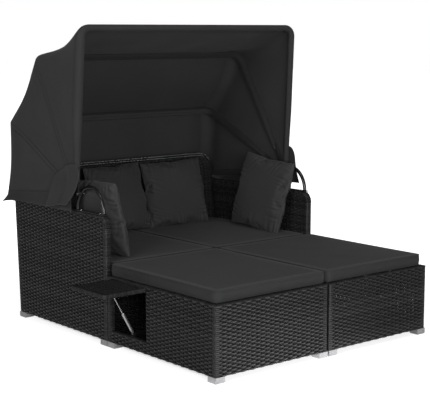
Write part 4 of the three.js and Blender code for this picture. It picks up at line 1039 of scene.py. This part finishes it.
def puckered(points, uv, seed):
    """Short folds that run in from the four edges. At distance d from an edge and place s along it
    the cloth stands up by abs(sin(pi (s + slant d) / pitch)) times (d / 26 mm) exp(1 - d / 26 mm)."""
    reach, height, wander, wander_length = 0.026, 0.0080, 0.010, 0.11
    mean_lobe, steady, uneven = 0.6, 0.6, 0.4
    pitches, slants, uneven_lengths, starts = (0.026, 0.036), (-0.6, 0.6), (0.13, 0.21), (0, 6.3)
    draw = np.random.default_rng(seed)
    flat = np.where(uv[:, :1] > SECOND_SHEET_PLACE / 2, uv - SECOND_SHEET_PLACE, uv)
    rise = np.zeros(len(points))
    for axis, way in ((0, 1), (0, -1), (1, 1), (1, -1)):
        away = np.clip(SHEET_HALF - way * flat[:, axis], 0.0, None)
        s = flat[:, 1 - axis]
        for sheet in (1, -1):
            pitch, slant = draw.uniform(*pitches), draw.uniform(*slants)
            swerve = np.sin(2 * np.pi * s / wander_length + draw.uniform(*starts))
            warped = s + slant * away + wander * swerve
            lobes = np.abs(np.sin(np.pi * warped / pitch + draw.uniform(*starts))) - mean_lobe
            size = np.sin(2 * np.pi * s / draw.uniform(*uneven_lengths) + draw.uniform(*starts))
            depth = height * (away / reach) * np.exp(1 - away / reach)
            rise += np.where(points[:, 1] * sheet > 0, lobes * (steady + uneven * size) * depth, 0.0)
    return points + np.stack([0 * rise, np.sign(points[:, 1]) * rise, 0 * rise], axis=-1)


def blown_up(points, quads):
    """The sheets filled as cloth under pressure, without weight, for sixteen steps: the cloth pulls
    in and puckers along the seam. Returns the points, scaled to the pillow's breadth and thickness."""
    half, half_thick, steps = 0.200, 0.066, 16
    trial = mesh_from("trial", points, quads)
    cloth = trial.modifiers.new("cloth", "CLOTH").settings
    cloth.quality = 6
    cloth.mass = 0.25
    cloth.tension_stiffness = cloth.compression_stiffness = 15.0
    cloth.shear_stiffness = 4.0
    cloth.bending_stiffness = 0.15
    cloth.bending_damping = 0.5
    cloth.use_pressure = True
    cloth.uniform_pressure_force = 3.0
    cloth.effector_weights.gravity = 0.0
    for step in range(1, steps + 1):
        bpy.context.scene.frame_set(step)
    filled = trial.evaluated_get(bpy.context.evaluated_depsgraph_get()).to_mesh()
    moved = np.empty(len(points) * 3)
    filled.vertices.foreach_get("co", moved)
    bpy.data.objects.remove(trial)
    bpy.context.scene.frame_set(1)
    moved = moved.reshape(-1, 3)
    reach = np.abs(moved).max(axis=0)
    return moved * np.array([half, half_thick, half]) / reach


# fold=0.55 strengthens the painted shade in the hollows of the pillows' folds and the painted highlight on
# their ridges.
pillow_cloth = cloth_finish("charcoal_pillow_cloth", (0.020, 0.020, 0.0205), (0.031, 0.031, 0.032),
                            crease=0.45, fold=0.55)


def scatter_pillow(name, filled, flip, roll, lean, turn, size=(1.0, 1.0), shift=(0.0, 0.0, 0.0)):
    """A filled form, flipped so that no two show the same folds, rolled in its own plane, leaned and
    turned as its node is, and set in the middle of its node's box, or a little off it."""
    low, high = box_of(name)
    points, quads, uv, rim = filled
    points = points * flip * np.array([size[0], 1.0, size[1]])
    if np.prod(flip) < 0:
        quads = quads[:, ::-1]
    roll, lean, turn = math.radians(roll), math.radians(lean), math.radians(turn)
    x, y, z = points.T
    x, z = x * math.cos(roll) - z * math.sin(roll), x * math.sin(roll) + z * math.cos(roll)
    y, z = y * math.cos(lean) + z * math.sin(lean), -y * math.sin(lean) + z * math.cos(lean)
    x, y = x * math.cos(turn) - y * math.sin(turn), x * math.sin(turn) + y * math.cos(turn)
    points = np.stack([x, y, z], axis=-1) + (low + high) / 2 + shift
    made = mesh_from(name + "_filled", points, quads, uv)
    # Painted highlight: the knife-edge seam takes the pillow cloth's pale seam colour.
    stitched(made, rim * 0.6)
    smoother = made.modifiers.new("smooth", "SUBSURF")
    smoother.levels = smoother.render_levels = 1
    dress(made, pillow_cloth)
    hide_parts(name)
    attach(made, "sofa")


filled = []
for seed in (11, 23):
    points, quads, uv, rim = sewn_sheets(seed)
    filled.append((puckered(blown_up(points, quads), uv, seed), quads, uv, rim))
scatter_pillow("left_arm_pillow", filled[0], (1, 1, 1), 0, 13, 94)
scatter_pillow("back_left_pillow", filled[1], (1, 1, 1), 1, 15, 5, (1.04, 0.99), (-0.008, 0.0, -0.005))
scatter_pillow("back_right_pillow", filled[0], (-1, 1, -1), 1, 15, -5, (1.05, 0.98), (-0.042, 0.0, -0.007))
scatter_pillow("right_arm_pillow", filled[1], (-1, -1, 1), -6, 13, -88, (1.0, 1.07), (0.0, -0.010, 0.014))


# Arches on the arms
# Each arm carries a half hoop of glossy black tube welded to a flat strap, which two bright screws
# hold down. The bright pivot bolt through the hoop is the hinge of all four bows.

gloss_black = metal("gloss_black_enamel", (0.006, 0.006, 0.006), (0.009, 0.009, 0.010), (0.22, 0.30),
                    0.0, 0.05, grain=400.0, coat=0.1)
chrome = metal("bright_plating", (0.70, 0.70, 0.71), (0.82, 0.82, 0.83), (0.10, 0.20), 1.0, 0.06)


def screw_head(place, radius, height):
    """A domed screw head: rings of a circle that close over its top."""
    sides, hair, cylinder_share = 20, 1e-5, 0.45
    rise = np.linspace(0.0, math.pi / 2, 6)
    up = np.append([0.0], height * (cylinder_share + (1 - cylinder_share) * np.sin(rise)))
    up = up + hair * np.arange(len(up))
    path = np.array(place) + np.stack([0 * up, 0 * up, up], axis=-1)
    radii = np.append([radius], radius * np.cos(rise) + hair)
    return closed_tube(path, radii, np.array([1.0, 0.0, 0.0]), sides)


def arch(word):
    """Half hoop: x is steady, y and z follow a half ellipse from one end of the strap to the other."""
    low, high = box_of(f"{word}_arch")
    overhang, tube, strap, strap_round, sides = 0.016, 0.010, 0.005, 0.0016, 20
    screw_radius, screw_height, screw_inset = 0.0055, 0.0042, 0.030
    middle = (low + high) / 2
    span = high[1] - low[1] - 2 * overhang
    rise = high[2] - tube - low[2] - strap / 2
    turn = np.linspace(math.pi, 0.0, 61)
    path = np.stack([np.full(len(turn), middle[0]), middle[1] + span / 2 * np.cos(turn),
                     low[2] + strap / 2 + rise * np.sin(turn)], axis=-1)
    hoop = closed_tube(path, tube, np.array([1.0, 0.0, 0.0]), sides)
    plate = rounded_slab(low, [high[0], high[1], low[2] + strap], strap_round)
    made = merged(woven(f"{word}_arch_hoop", [hoop, plate]))
    dress(made, gloss_black)
    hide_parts(f"{word}_arch")
    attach(made, "sofa")
    inset = screw_inset + overhang
    screws = woven(f"{word}_arch_screws", [
        screw_head([middle[0], y, low[2] + strap], screw_radius, screw_height)
        for y in (low[1] + inset, high[1] - inset)
    ])
    dress(screws, chrome)
    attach(screws, "sofa")


arch("left")
arch("right")
for word in ("left", "right"):
    dress(nodes[f"{word}_pivot_bolt"], chrome)


# Hood bows
# Four hoops of black round tube, flattened into lugs at their ends, swing on one bolt at each arch.
# The rear one is fixed behind the back; the other three fold back onto it one after the other.

for name in ("rear_bow", "third_bow", "second_bow", "front_bow"):
    dress(nodes[name], powder_coat)


# Hood cloth
# One skin of charcoal polyester in three widths, sewn together along the bows. It is drawn in
# between them by its own tension, and each bow lies in a sleeve stitched inside the skin.

pivot = np.array(frame["record"]["behaviour"]["joints"][0]["pos_m"])
BOW_ANGLES = np.radians([95.6, 63.86, 30.33, -3.64])
BOW_REACHES = 0.70889 * np.array([1.0, 1.048, 1.107, 1.175])
BOW_HALVES = 0.715 - np.array([0.021, 0.018, 0.013, 0.004])
BOW_CORNERS = np.array([0.060, 0.060, 0.065, 0.045])
LUG_PLACES = 0.7073 + 0.005 * np.arange(4)
LUG_LENGTH = 0.150
CLOTH_START = 0.062
CLOTH_OFF_BOW = 0.0119
CORNER_POKE = np.array([0.030, 0.022, 0.016, 0.0])
SAG, SIDE_SAG = 0.020, 0.008
CORNER_SAG = np.array([0.0, 0.006, 0.026])
REAR_HEM = 0.024
LIP_OUT, LIP_DROP = 0.034, 0.020
ARM_CLEAR = 0.7225
SLEEVE_HALF, SLEEVE_TAPER, SLEEVE_START = 0.027, 0.070, 0.175
CLOTH_THICK = 0.0014
BOW_BODIES = ["sofa", "third_bow", "second_bow", "front_bow"]
LEG_STEPS, BEND_STEPS, BAR_STEPS = 46, 12, 90


def bow_stations(i):
    """Places round bow i in its own plane: across X from the middle, reach from the pivot, and the
    outward direction. It runs up the left leg, round a quarter circle, along the bar, and mirrored
    down the right leg."""
    corner = BOW_CORNERS[i]
    shoulder, half_bar = BOW_REACHES[i] - corner, BOW_HALVES[i] - corner
    leg = CLOTH_START + (shoulder - CLOTH_START) * np.arange(LEG_STEPS) / LEG_STEPS
    leg_share = (leg - LUG_LENGTH) / (shoulder - LUG_LENGTH)
    leg_x = LUG_PLACES[i] + (BOW_HALVES[i] - LUG_PLACES[i]) * leg_share
    turn = np.linspace(0.0, math.pi / 2, BEND_STEPS + 1)
    bar_x = np.linspace(-half_bar, half_bar, BAR_STEPS + 1)[1:-1]
    flat, level = np.ones(LEG_STEPS), np.ones(len(bar_x))
    side_x = np.concatenate([leg_x, half_bar + corner * np.cos(turn)])
    side_reach = np.concatenate([leg, shoulder + corner * np.sin(turn)])
    side_out_x = np.concatenate([flat, np.cos(turn)])
    side_out_reach = np.concatenate([0 * flat, np.sin(turn)])
    x = np.concatenate([-side_x, bar_x, side_x[::-1]])
    reach = np.concatenate([side_reach, BOW_REACHES[i] * level, side_reach[::-1]])
    out_x = np.concatenate([-side_out_x, 0 * level, side_out_x[::-1]])
    out_reach = np.concatenate([side_out_reach, level, side_out_reach[::-1]])
    return x, reach, out_x, out_reach


def from_bow_plane(i, x, reach, behind=0.0):
    """A place in bow i's plane, and a distance behind it, as a point of the daybed."""
    angle = BOW_ANGLES[i]
    return np.stack(np.broadcast_arrays(
        pivot[0] + x,
        pivot[1] + reach * math.sin(angle) + behind * math.cos(angle),
        pivot[2] + reach * math.cos(angle) - behind * math.sin(angle),
    ), axis=-1)


def bow_line(i, off=0.0, behind=0.0):
    """The line of bow i, moved outwards and behind its plane."""
    x, reach, out_x, out_reach = bow_stations(i)
    return from_bow_plane(i, x + out_x * off, reach + out_reach * off, behind)


def front_sleeve():
    """Radius of the roomy sleeve round the front bow, station by station, and how far its middle
    lies outside the tube: most on the left leg, above the flap, where the cloth is slack."""
    room, slack, right_share, slack_from, slack_full = 0.0036, 0.0084, 0.3, 0.16, 0.40
    x, reach, out_x, out_reach = bow_stations(3)
    side = out_x**2 * smooth(reach, slack_from, slack_full) * np.where(x < 0, 1.0, right_share)
    radius = CLOTH_OFF_BOW + room + slack * side
    return radius, radius - CLOTH_OFF_BOW


def at_bend(i):
    """1 at the two bends of bow i, falling off as a bell curve along the bow."""
    spread = 0.09
    x, reach, out_x, out_reach = bow_stations(i)
    return np.exp(-((np.abs(x) - BOW_HALVES[i]) ** 2 + (reach - BOW_REACHES[i]) ** 2) / spread**2)


def cloth_off(i):
    """How far the skin stands off the middle of bow i, station by station: a steady distance and
    more at the bends, where the bow props it out, or the far side of the front bow's sleeve."""
    if i == 3:
        return sum(front_sleeve())
    return CLOTH_OFF_BOW + CORNER_POKE[i] * at_bend(i)


def cloth_line(i):
    """The line on which the skin lies over bow i."""
    return bow_line(i, cloth_off(i))


def bow_out(i):
    """Outward directions along bow i."""
    x, reach, out_x, out_reach = bow_stations(i)
    return from_bow_plane(i, out_x, out_reach) - from_bow_plane(i, 0.0, 0.0)


def hood_skin(i, share):
    """The skin between bow i and bow i + 1 at shares of the way, for all stations: a straight line
    from bow to bow, less a sag of sin(pi share), which is greatest at the bends and small at the
    legs, plus faint tension folds that run from bow to bow."""
    share = np.asarray(share, float)
    if share.ndim == 1:
        share = share[:, None]
    x, reach, out_x, out_reach = bow_stations(i)
    start, end = cloth_line(i), cloth_line(i + 1)
    out = unit(bow_out(i)[None] * (1 - share[..., None]) + bow_out(i + 1)[None] * share[..., None])
    place = start[None] * (1 - share[..., None]) + end[None] * share[..., None]
    side = np.abs(out[..., 0])
    width = np.clip(reach / BOW_REACHES[i], 0.0, 1.0)
    arc = np.sin(np.pi * share)
    sag = (SAG + (SIDE_SAG - SAG) * side + CORNER_SAG[i] * at_bend(i)) * width * arc**1.15
    run = np.linspace(-1.0, 1.0, len(x))[None, :]
    beside_bend, bend_spread, tension, looseness = 0.08, 0.12, 0.0016, 0.0022
    folds, drift, drift_rate, slant, least_pull, bend_pull = 38.0, 2.5, 5.0, 1.5, 0.25, 1.2
    near_bend = np.exp(-((np.abs(x)[None, :] - BOW_HALVES[i] + beside_bend) / bend_spread) ** 2) * width
    pull = (tension * np.sin(folds * run + drift * np.sin(drift_rate * run + i) + slant * share)
            * (least_pull + bend_pull * near_bend))
    loose = looseness * ripple(run * 1.4, share * 0.5, 40 + i, waves=6, slow=1.0, fast=3.5) * width
    return place - out * (sag - (pull + loose) * arc)[..., None], out


hood_cloth = cloth_finish("charcoal_hood_cloth", (0.018, 0.018, 0.0185), (0.027, 0.027, 0.0275),
                          rough=0.86, crease=0.15, seam=0.22)


def measured(lines):
    """Distance run along a line of points, from 0 at its start."""
    return np.concatenate([[0.0], np.cumsum(np.linalg.norm(np.diff(lines, axis=0), axis=-1))])


def thickened(made, thick):
    """Gives a sheet its thickness, half on each side."""
    wall = made.modifiers.new("cloth", "SOLIDIFY")
    wall.thickness = thick
    wall.offset = 0.0


def rear_hem():
    """Rows that hang from the rear bow, lowest first: behind the back they end in a short hem, at
    the bends they flare out as a lip, and beside the arms they reach down to the arms' tops."""
    rows, least, leg_from, leg_full, above_arm = 8, 0.004, 0.58, 0.66, 0.008
    x, reach, out_x, out_reach = bow_stations(0)
    bend, leg = at_bend(0), out_x**2 * (1 - smooth(reach, leg_from, leg_full))
    to_arm = cloth_line(0)[:, 2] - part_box("left_side_weave")[1][2] + above_arm
    hang = REAR_HEM + LIP_DROP * bend + (to_arm - REAR_HEM) * leg
    flare = least + LIP_OUT * bend + (ARM_CLEAR - np.abs(x) - CLOTH_OFF_BOW - least) * leg
    return np.stack([bow_line(0, cloth_off(0) + flare * share**1.5, hang * share)
                     for share in np.linspace(1.0, 0.1, rows)])


def front_turn_in():
    """Rows that carry the skin round the front bow and back under it: half a circle round the bow's
    sleeve, then a leaf that nears the skin again and is stitched to it."""
    leaf_length, leaf_most_share, close = 0.042, 0.42, 0.0016
    ring, beside = front_sleeve()
    turn = np.linspace(0.0, math.pi, 13)[1:]
    forward = bow_line(3, 0.0, -1.0) - bow_line(3)
    round_bow = bow_line(3, beside)[None] + ring[:, None] * (
        bow_out(3)[None] * np.cos(turn)[:, None, None] + forward[None] * np.sin(turn)[:, None, None])
    t = np.linspace(0.0, 1.0, 9)[1:]
    gap = np.linalg.norm(cloth_line(3) - cloth_line(2), axis=-1)
    back_share = 1 - np.minimum(leaf_length / gap, leaf_most_share)[None, :] * t[:, None]
    leaf, leaf_out = hood_skin(2, back_share)
    under = close + (2 * ring[None, :] - close) * (1 - t[:, None]) ** 1.6
    return np.concatenate([round_bow, leaf - leaf_out * under[..., None]])


def hood_panel(word, i):
    """The width of skin between bow i and the next. Its thread shows beside each bow, and faintly on it."""
    seam_off, seam_width, ridge_width, trim_share = 0.012, 0.0045, 0.0025, 1.02
    weight = np.unique(np.concatenate([np.linspace(0.0, 0.10, 6), np.linspace(0.10, 0.90, 33),
                                       np.linspace(0.90, 1.0, 6)]))
    rows, out = hood_skin(i, weight)
    first, last = 0, len(rows) - 1
    if i == 0:
        hem = rear_hem()
        rows = np.concatenate([hem, rows])
        weight = np.concatenate([np.zeros(len(hem)), weight])
        first, last = len(hem), len(rows) - 1
    if i == 2:
        turned_in = front_turn_in()
        rows = np.concatenate([rows, turned_in])
        weight = np.concatenate([weight, np.ones(len(turned_in))])
    count, stations = rows.shape[:2]
    middle = stations // 2
    run, fall = measured(rows[count // 2]), measured(rows[:, middle])
    uv = np.stack(np.broadcast_arrays(run[None, :], fall[:, None]), axis=-1)
    made = mesh_from(f"{word}_canopy_cloth", rows.reshape(-1, 3), grid_quads(count, stations)[:, ::-1],
                     uv.reshape(-1, 2))
    length = np.linalg.norm(rows[last] - rows[first], axis=-1)
    from_bow = np.minimum(weight, 1 - weight)[:, None] * length[None, :]
    stitched(made, np.exp(-((from_bow - seam_off) / seam_width) ** 2)
             + np.exp(-(from_bow / ridge_width) ** 2) * 0.3)
    thickened(made, CLOTH_THICK)
    dress(made, hood_cloth)
    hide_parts(f"{word}_canopy_panel")
    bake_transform(made)


def sleeve(i):
    """The pocket that holds bow i inside the skin: at t in -1 to 1 it leaves the skin at the stitch
    line behind, passes under the tube at t = 0, and meets the skin at the stitch line ahead. It
    narrows towards the pivot, where the folded bows lie close, and ends above the lugs."""
    most_share, rear_share, tape_from, tape_full = 0.40, 0.75, 0.55, 0.72
    under_tube, sleeve_thick, squareness, across, tape_tone = 0.0096, 0.0010, 2.6, 0.03, 0.9
    x, reach, out_x, out_reach = bow_stations(i)
    t = np.linspace(-1.0, 1.0, 25)
    behind, ahead = t < 0, t >= 0
    rows = np.zeros((len(t), len(x), 3))
    out = np.zeros_like(rows)
    line = cloth_line(i)
    half = np.minimum(SLEEVE_HALF, SLEEVE_TAPER * reach)
    if i > 0:
        gap = np.linalg.norm(line - cloth_line(i - 1), axis=-1)
        share = 1 - np.minimum(half / gap, most_share)[None, :] * np.abs(t[behind])[:, None]
        rows[behind], out[behind] = hood_skin(i - 1, share)
    else:
        rows[behind] = np.stack([bow_line(0, cloth_off(0), h * half) for h in -t[behind] * rear_share])
        out[behind] = bow_out(0)[None]
    gap = np.linalg.norm(line - cloth_line(i + 1), axis=-1)
    share = np.minimum(half / gap, most_share)[None, :] * t[ahead][:, None]
    rows[ahead], out[ahead] = hood_skin(i, share)
    depth = CLOTH_THICK + (cloth_off(i)[None, :] + under_tube) * (1 - np.abs(t[:, None]) ** squareness)
    tape = np.maximum(smooth(np.abs(t), tape_from, tape_full)[:, None], out_x[None, :] ** 2)
    above = reach > SLEEVE_START
    rows, tape = (rows - out * depth[..., None])[:, above], tape[:, above]
    count, stations = rows.shape[:2]
    uv = np.stack(np.broadcast_arrays(measured(rows[count // 2])[None, :], t[:, None] * across), axis=-1)
    name = BOW_BODIES[i].replace("sofa", "rear_bow") + "_sleeve"
    made = mesh_from(name, rows.reshape(-1, 3), grid_quads(count, stations)[:, ::-1], uv.reshape(-1, 2))
    # Dark binding tape along the stitch lines and on the legs; the second bow's sleeve is dark all over,
    # painted shade for its underside.
    stitched(made, np.maximum(tape, float(i == 2)) * tape_tone)
    thickened(made, sleeve_thick)
    dress(made, hood_cloth)
    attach(made, BOW_BODIES[i])


for i, word in enumerate(("rear", "middle", "front")):
    hood_panel(word, i)
for i in range(3):
    sleeve(i)


def flap(word, side, swing):
    """The loose cuff that hangs over the pivot, sewn to the middle width of skin. Its upper edge
    slopes back as share^1.8, its front corner is rounded, and at drop d its front edge has swung back
    by swing d^2.6; it hangs out by flare d^2 and folds by sin(3 pi share) d."""
    front, rear, rear_spread, flat_height = -0.060, 0.208, 0.036, 0.235
    above, below, slope, rear_drop = 0.155, 0.060, 0.094, 0.024
    off, step_out, flare, fold, small_fold, hem_wave = 0.0031, 0.0125, 0.020, 0.006, 0.0015, 0.003
    rounding, rounding_share, seam_in, seam_width = 0.052, 0.32, 0.020, 0.012
    over_bolt, hem_drop, side_share, seam_tone = (0.30, 0.55), 0.90, 0.07, 0.25
    top, bottom = pivot[2] + above, pivot[2] - below
    drop = np.linspace(0.0, 1.0, 48)[:, None]
    share = np.linspace(0.0, 1.0, 60)[None, :]
    over_front = 1 - smooth(share, *over_bolt)
    stands = np.maximum(over_front, smooth(drop, 0.1, 0.5) * 0.6)
    folds = fold * np.sin(3 * np.pi * share) + small_fold * np.sin(7 * np.pi * share + 1.0)
    x = LUG_PLACES[2] + CLOTH_OFF_BOW + off + step_out * stands + flare * drop**2 + folds * drop
    corner = 1 - np.sqrt(1 - (1 - np.minimum(drop / rounding_share, 1)) ** 2)
    edge = front + swing * drop**2.6 + rounding * corner
    y = pivot[1] + edge + (rear + rear_spread * drop - edge) * share
    high = top - slope * share**1.8
    z = high + (bottom - rear_drop * share - high) * drop + hem_wave * np.sin(2 * np.pi * share) * drop
    rows = np.stack([pivot[0] + side * x, y, z], axis=-1)
    uv = np.stack(np.broadcast_arrays(share * (rear - front), drop * (top - bottom)), axis=-1)
    quads = grid_quads(*rows.shape[:2])
    if side > 0:
        quads = quads[:, ::-1]
    made = mesh_from(f"{word}_canopy_flap_cloth", rows.reshape(-1, 3), quads, uv.reshape(-1, 2))
    hem = np.exp(-((drop - hem_drop) / seam_width) ** 2) + 0 * share
    sides = np.exp(-((np.minimum(share, 1 - share) - side_share) / seam_width) ** 2) + 0 * drop
    stitched(made, np.maximum(hem, sides) * seam_tone)
    thickened(made, CLOTH_THICK)
    dress(made, hood_cloth)
    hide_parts(f"{word}_canopy_flap")
    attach(made, "second_bow")


flap("left", -1, 0.100)
flap("right", 1, -0.020)


# Side tables
# Each ottoman has a flap table in its side: a thin board covered with cane on its outer face and
# edges and plain underneath. It turns on a bright pin, and a gas strut holds it level.

board_plastic = metal("black_board", (0.010, 0.010, 0.011), (0.016, 0.016, 0.017), (0.35, 0.5), 0.0, 0.4,
                      grain=600.0)


def table_points(word, side, out, along, up):
    """A place on a table, given by its distances out from the hinge, along it and up from it, as a
    point of the daybed. The left table stands open and the right one hangs shut."""
    joint = next(j for j in frame["record"]["behaviour"]["joints"] if j["name"] == f"{word}_table_hinge")
    hinge = np.array(joint["pos_m"])
    if side < 0:
        return np.stack(np.broadcast_arrays(hinge[0] - out, hinge[1] + along, hinge[2] + up), axis=-1)
    return np.stack(np.broadcast_arrays(hinge[0] + up, hinge[1] + along, hinge[2] - out), axis=-1)


def table_flap(word, side):
    """Cane over a board: rows along the hinge on the outer face, windings over its two sides and its
    free edge, and a plain board under them."""
    reach, half_width, half_thick, corner_round = 0.248, 0.141, 0.011, 0.012
    past_hinge, row_margin, stake_margin, stake_tip, hair = 0.006, 0.010, 0.003, 0.004, 1e-4
    lap, far_lap, edge_round = 0.012, 0.004, 0.005
    board_start, board_inset, board_round, cane_skin, proud = 0.0065, 0.0035, 0.003, 0.0045, 0.0006
    origin = table_points(word, side, 0.0, 0.0, 0.0)
    out = table_points(word, side, 1.0, 0.0, 0.0) - origin
    along = table_points(word, side, 0.0, 1.0, 0.0) - origin
    up = table_points(word, side, 0.0, 0.0, 1.0) - origin
    count = int(round((reach - row_margin) / STRAND_PITCH))
    row = np.arange(count)[:, None]
    place = past_hinge + (row + 0.5) * (reach - row_margin) / count
    end = half_width - past_hinge
    q = np.arange(-end, end + hair, STAKE_PITCH / STATIONS_PER_STAKE)
    wave = over_stakes(np.pi * (q[None, :] / STAKE_PITCH + row))
    lift = WAVE * wave + half_thick - WEAVE_DEPTH
    centre = origin + place[..., None] * out + q[None, :, None] * along + lift[..., None] * up
    rows = strands(centre, out, up, q[None, :] + 0 * row, STRAND_WIDTH * (1.0 + CREST_BROADER * wave),
                   STRAND_CROWN, crest=0.5 + 0.5 * wave)
    number = int(2 * half_width / STAKE_PITCH)
    spots = (np.arange(number)[:, None] - (number - 1) / 2) * STAKE_PITCH
    runs = np.linspace(stake_margin, reach - stake_tip, 12)
    centre = (origin + spots[..., None] * along + runs[None, :, None] * out
              + (half_thick - WEAVE_DEPTH) * up)
    uprights = strands(centre, along, up, runs[None, :] + 0 * spots, STAKE_WIDTH, STRAND_CROWN, crest=0.1)
    turn = np.linspace(-math.pi / 2, 0.0, 8)
    corner_out = reach - corner_round + corner_round * np.cos(turn)
    corner_along = half_width - corner_round - corner_round * np.sin(turn)
    rim_out = np.concatenate([[past_hinge], corner_out, corner_out[::-1], [past_hinge]])
    rim_along = np.concatenate([[-half_width], -corner_along, corner_along[::-1], [half_width]])
    face_out = np.concatenate([[0.0], np.cos(turn), np.cos(turn)[::-1], [0.0]])
    face_along = np.concatenate([[-1.0], np.sin(turn), -np.sin(turn)[::-1], [1.0]])
    path = origin + rim_out[:, None] * out + rim_along[:, None] * along
    rise = face_out[:, None] * out + face_along[:, None] * along
    edge = windings(path, rise, np.tile(up, (len(path), 1)),
                    edge_profile(2 * half_thick, lap, edge_round, far_lap))
    made = woven(f"{word}_table_cane", [rows, uprights, edge])
    dress(made, cane)
    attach(made, f"{word}_table")
    half_board = half_width - board_inset
    start = origin + board_start * out - half_board * along - (half_thick - proud) * up
    stop = origin + (reach - board_inset) * out + half_board * along + (half_thick - cane_skin) * up
    board = merged(woven(f"{word}_table_board", [
        rounded_slab(np.minimum(start, stop), np.maximum(start, stop), board_round)]))
    dress(board, board_plastic)
    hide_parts(f"{word}_table_panel")
    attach(board, f"{word}_table")


table_flap("left", -1)
table_flap("right", 1)
strut_paint = metal("silver_strut", (0.62, 0.62, 0.63), (0.74, 0.74, 0.75), (0.16, 0.26), 0.85, 0.08)
for word in ("left", "right"):
    dress(nodes[f"{word}_table_bracket"], powder_coat)
    dress(nodes[f"{word}_table_hinge_pin"], chrome)
    dress(nodes[f"{word}_strut_rod"], chrome)
    dress(nodes[f"{word}_strut_cylinder"], strut_paint)


# Studio
# A pale floor that runs into a white background, a large soft box in front, a smaller one at the left and
# weak ones overhead and behind. The camera sees the floor glow, save under the furniture. In front of the
# furniture a patch of the floor glows brightly for reflections only: a painted reflection that the polished
# cane shows as highlights.

bpy.ops.mesh.primitive_plane_add(size=60)
floor = bpy.context.object
floor.name = "floor"
floor_paint, tree, skin = shader("pale_floor")
rays = node(tree, "ShaderNodeLightPath")
place = node(tree, "ShaderNodeTexCoord").outputs["Object"]
away = node(tree, "ShaderNodeVectorMath", operation="LENGTH", Vector=place)
glow = ranged(tree, away.outputs["Value"], (1.2, 2.6), (0.75, 1.1))
from_middle = node(tree, "ShaderNodeMapping", Vector=place, Location=(-0.0928, 0.055, 0.0))
sides = node(tree, "ShaderNodeSeparateXYZ", Vector=from_middle.outputs["Vector"])
clear = maths(tree, "MAXIMUM", *[
    ranged(tree, maths(tree, "ABSOLUTE", sides.outputs[axis]), reach, (0.0, 1.0))
    for axis, reach in (("X", (0.60, 0.67)), ("Y", (0.64, 0.74)))
])
shown = maths(tree, "MULTIPLY", rays.outputs["Is Camera Ray"], clear)
# Painted reflection: a bright patch of floor in front that only glossy rays see.
painted_reflection_place = node(tree, "ShaderNodeMapping", Vector=place, Location=(0.15, 1.55, 0.0),
                  Scale=(1.0, 1.2, 1.0)).outputs["Vector"]
painted_reflection_away = node(tree, "ShaderNodeVectorMath", operation="LENGTH", Vector=painted_reflection_place)
painted_reflection = ranged(tree, painted_reflection_away.outputs["Value"], (0.45, 0.85), (2.3, 0.12))
both = maths(tree, "ADD", maths(tree, "MULTIPLY", glow, shown),
             maths(tree, "MULTIPLY", painted_reflection, rays.outputs["Is Glossy Ray"]))
fill(tree, skin, Base_Color=(0.88, 0.88, 0.88, 1), Roughness=1.0, Specular_IOR_Level=0.0,
     Emission_Color=(1, 1, 1, 1), Emission_Strength=both)
floor.data.materials.append(floor_paint)

world = bpy.data.worlds.new("studio")
bpy.context.scene.world = world
world.use_nodes = True
sky = world.node_tree.nodes["Background"]
seen = node(world.node_tree, "ShaderNodeLightPath").outputs["Is Camera Ray"]
fill(world.node_tree, sky, Color=(1, 1, 1, 1),
     Strength=ranged(world.node_tree, seen, (0.0, 1.0), (0.15, 1.0)))

for name, place, aim, size, power in (
    ("front_box", (-2.4, -7.0, 1.5), (0.0, 0.0, 0.55), (5.0, 2.6), 290.0),
    ("left_box", (-5.8, -2.2, 2.4), (0.0, 0.0, 0.55), (3.0, 2.4), 130.0),
    ("top_box", (-0.2, -1.5, 4.4), (0.0, -0.8, 0.4), (1.6, 1.2), 25.0),
    ("rear_box", (1.6, 6.0, 1.6), (0.0, 0.6, 0.5), (4.0, 2.0), 70.0),
):
    lamp = bpy.data.lights.new(name, "AREA")
    lamp.shape, lamp.size, lamp.size_y = "RECTANGLE", *size
    lamp.energy = power
    box = bpy.data.objects.new(name, lamp)
    bpy.context.collection.objects.link(box)
    box.location = place
    box.rotation_euler = (Vector(aim) - Vector(place)).to_track_quat("-Z", "Y").to_euler()

camera_data = bpy.data.cameras.new("camera")
camera_data.lens = 99.28
camera_data.sensor_width = 36
camera = bpy.data.objects.new("camera", camera_data)
bpy.context.collection.objects.link(camera)
eye = Vector((-3.921, -4.835, 1.572))
target = Vector((0.0848, -0.0542, 0.658))
camera.location = eye
camera.rotation_euler = (target - eye).to_track_quat("-Z", "Y").to_euler()
bpy.context.scene.camera = camera
bpy.context.scene.view_settings.view_transform = "Standard"
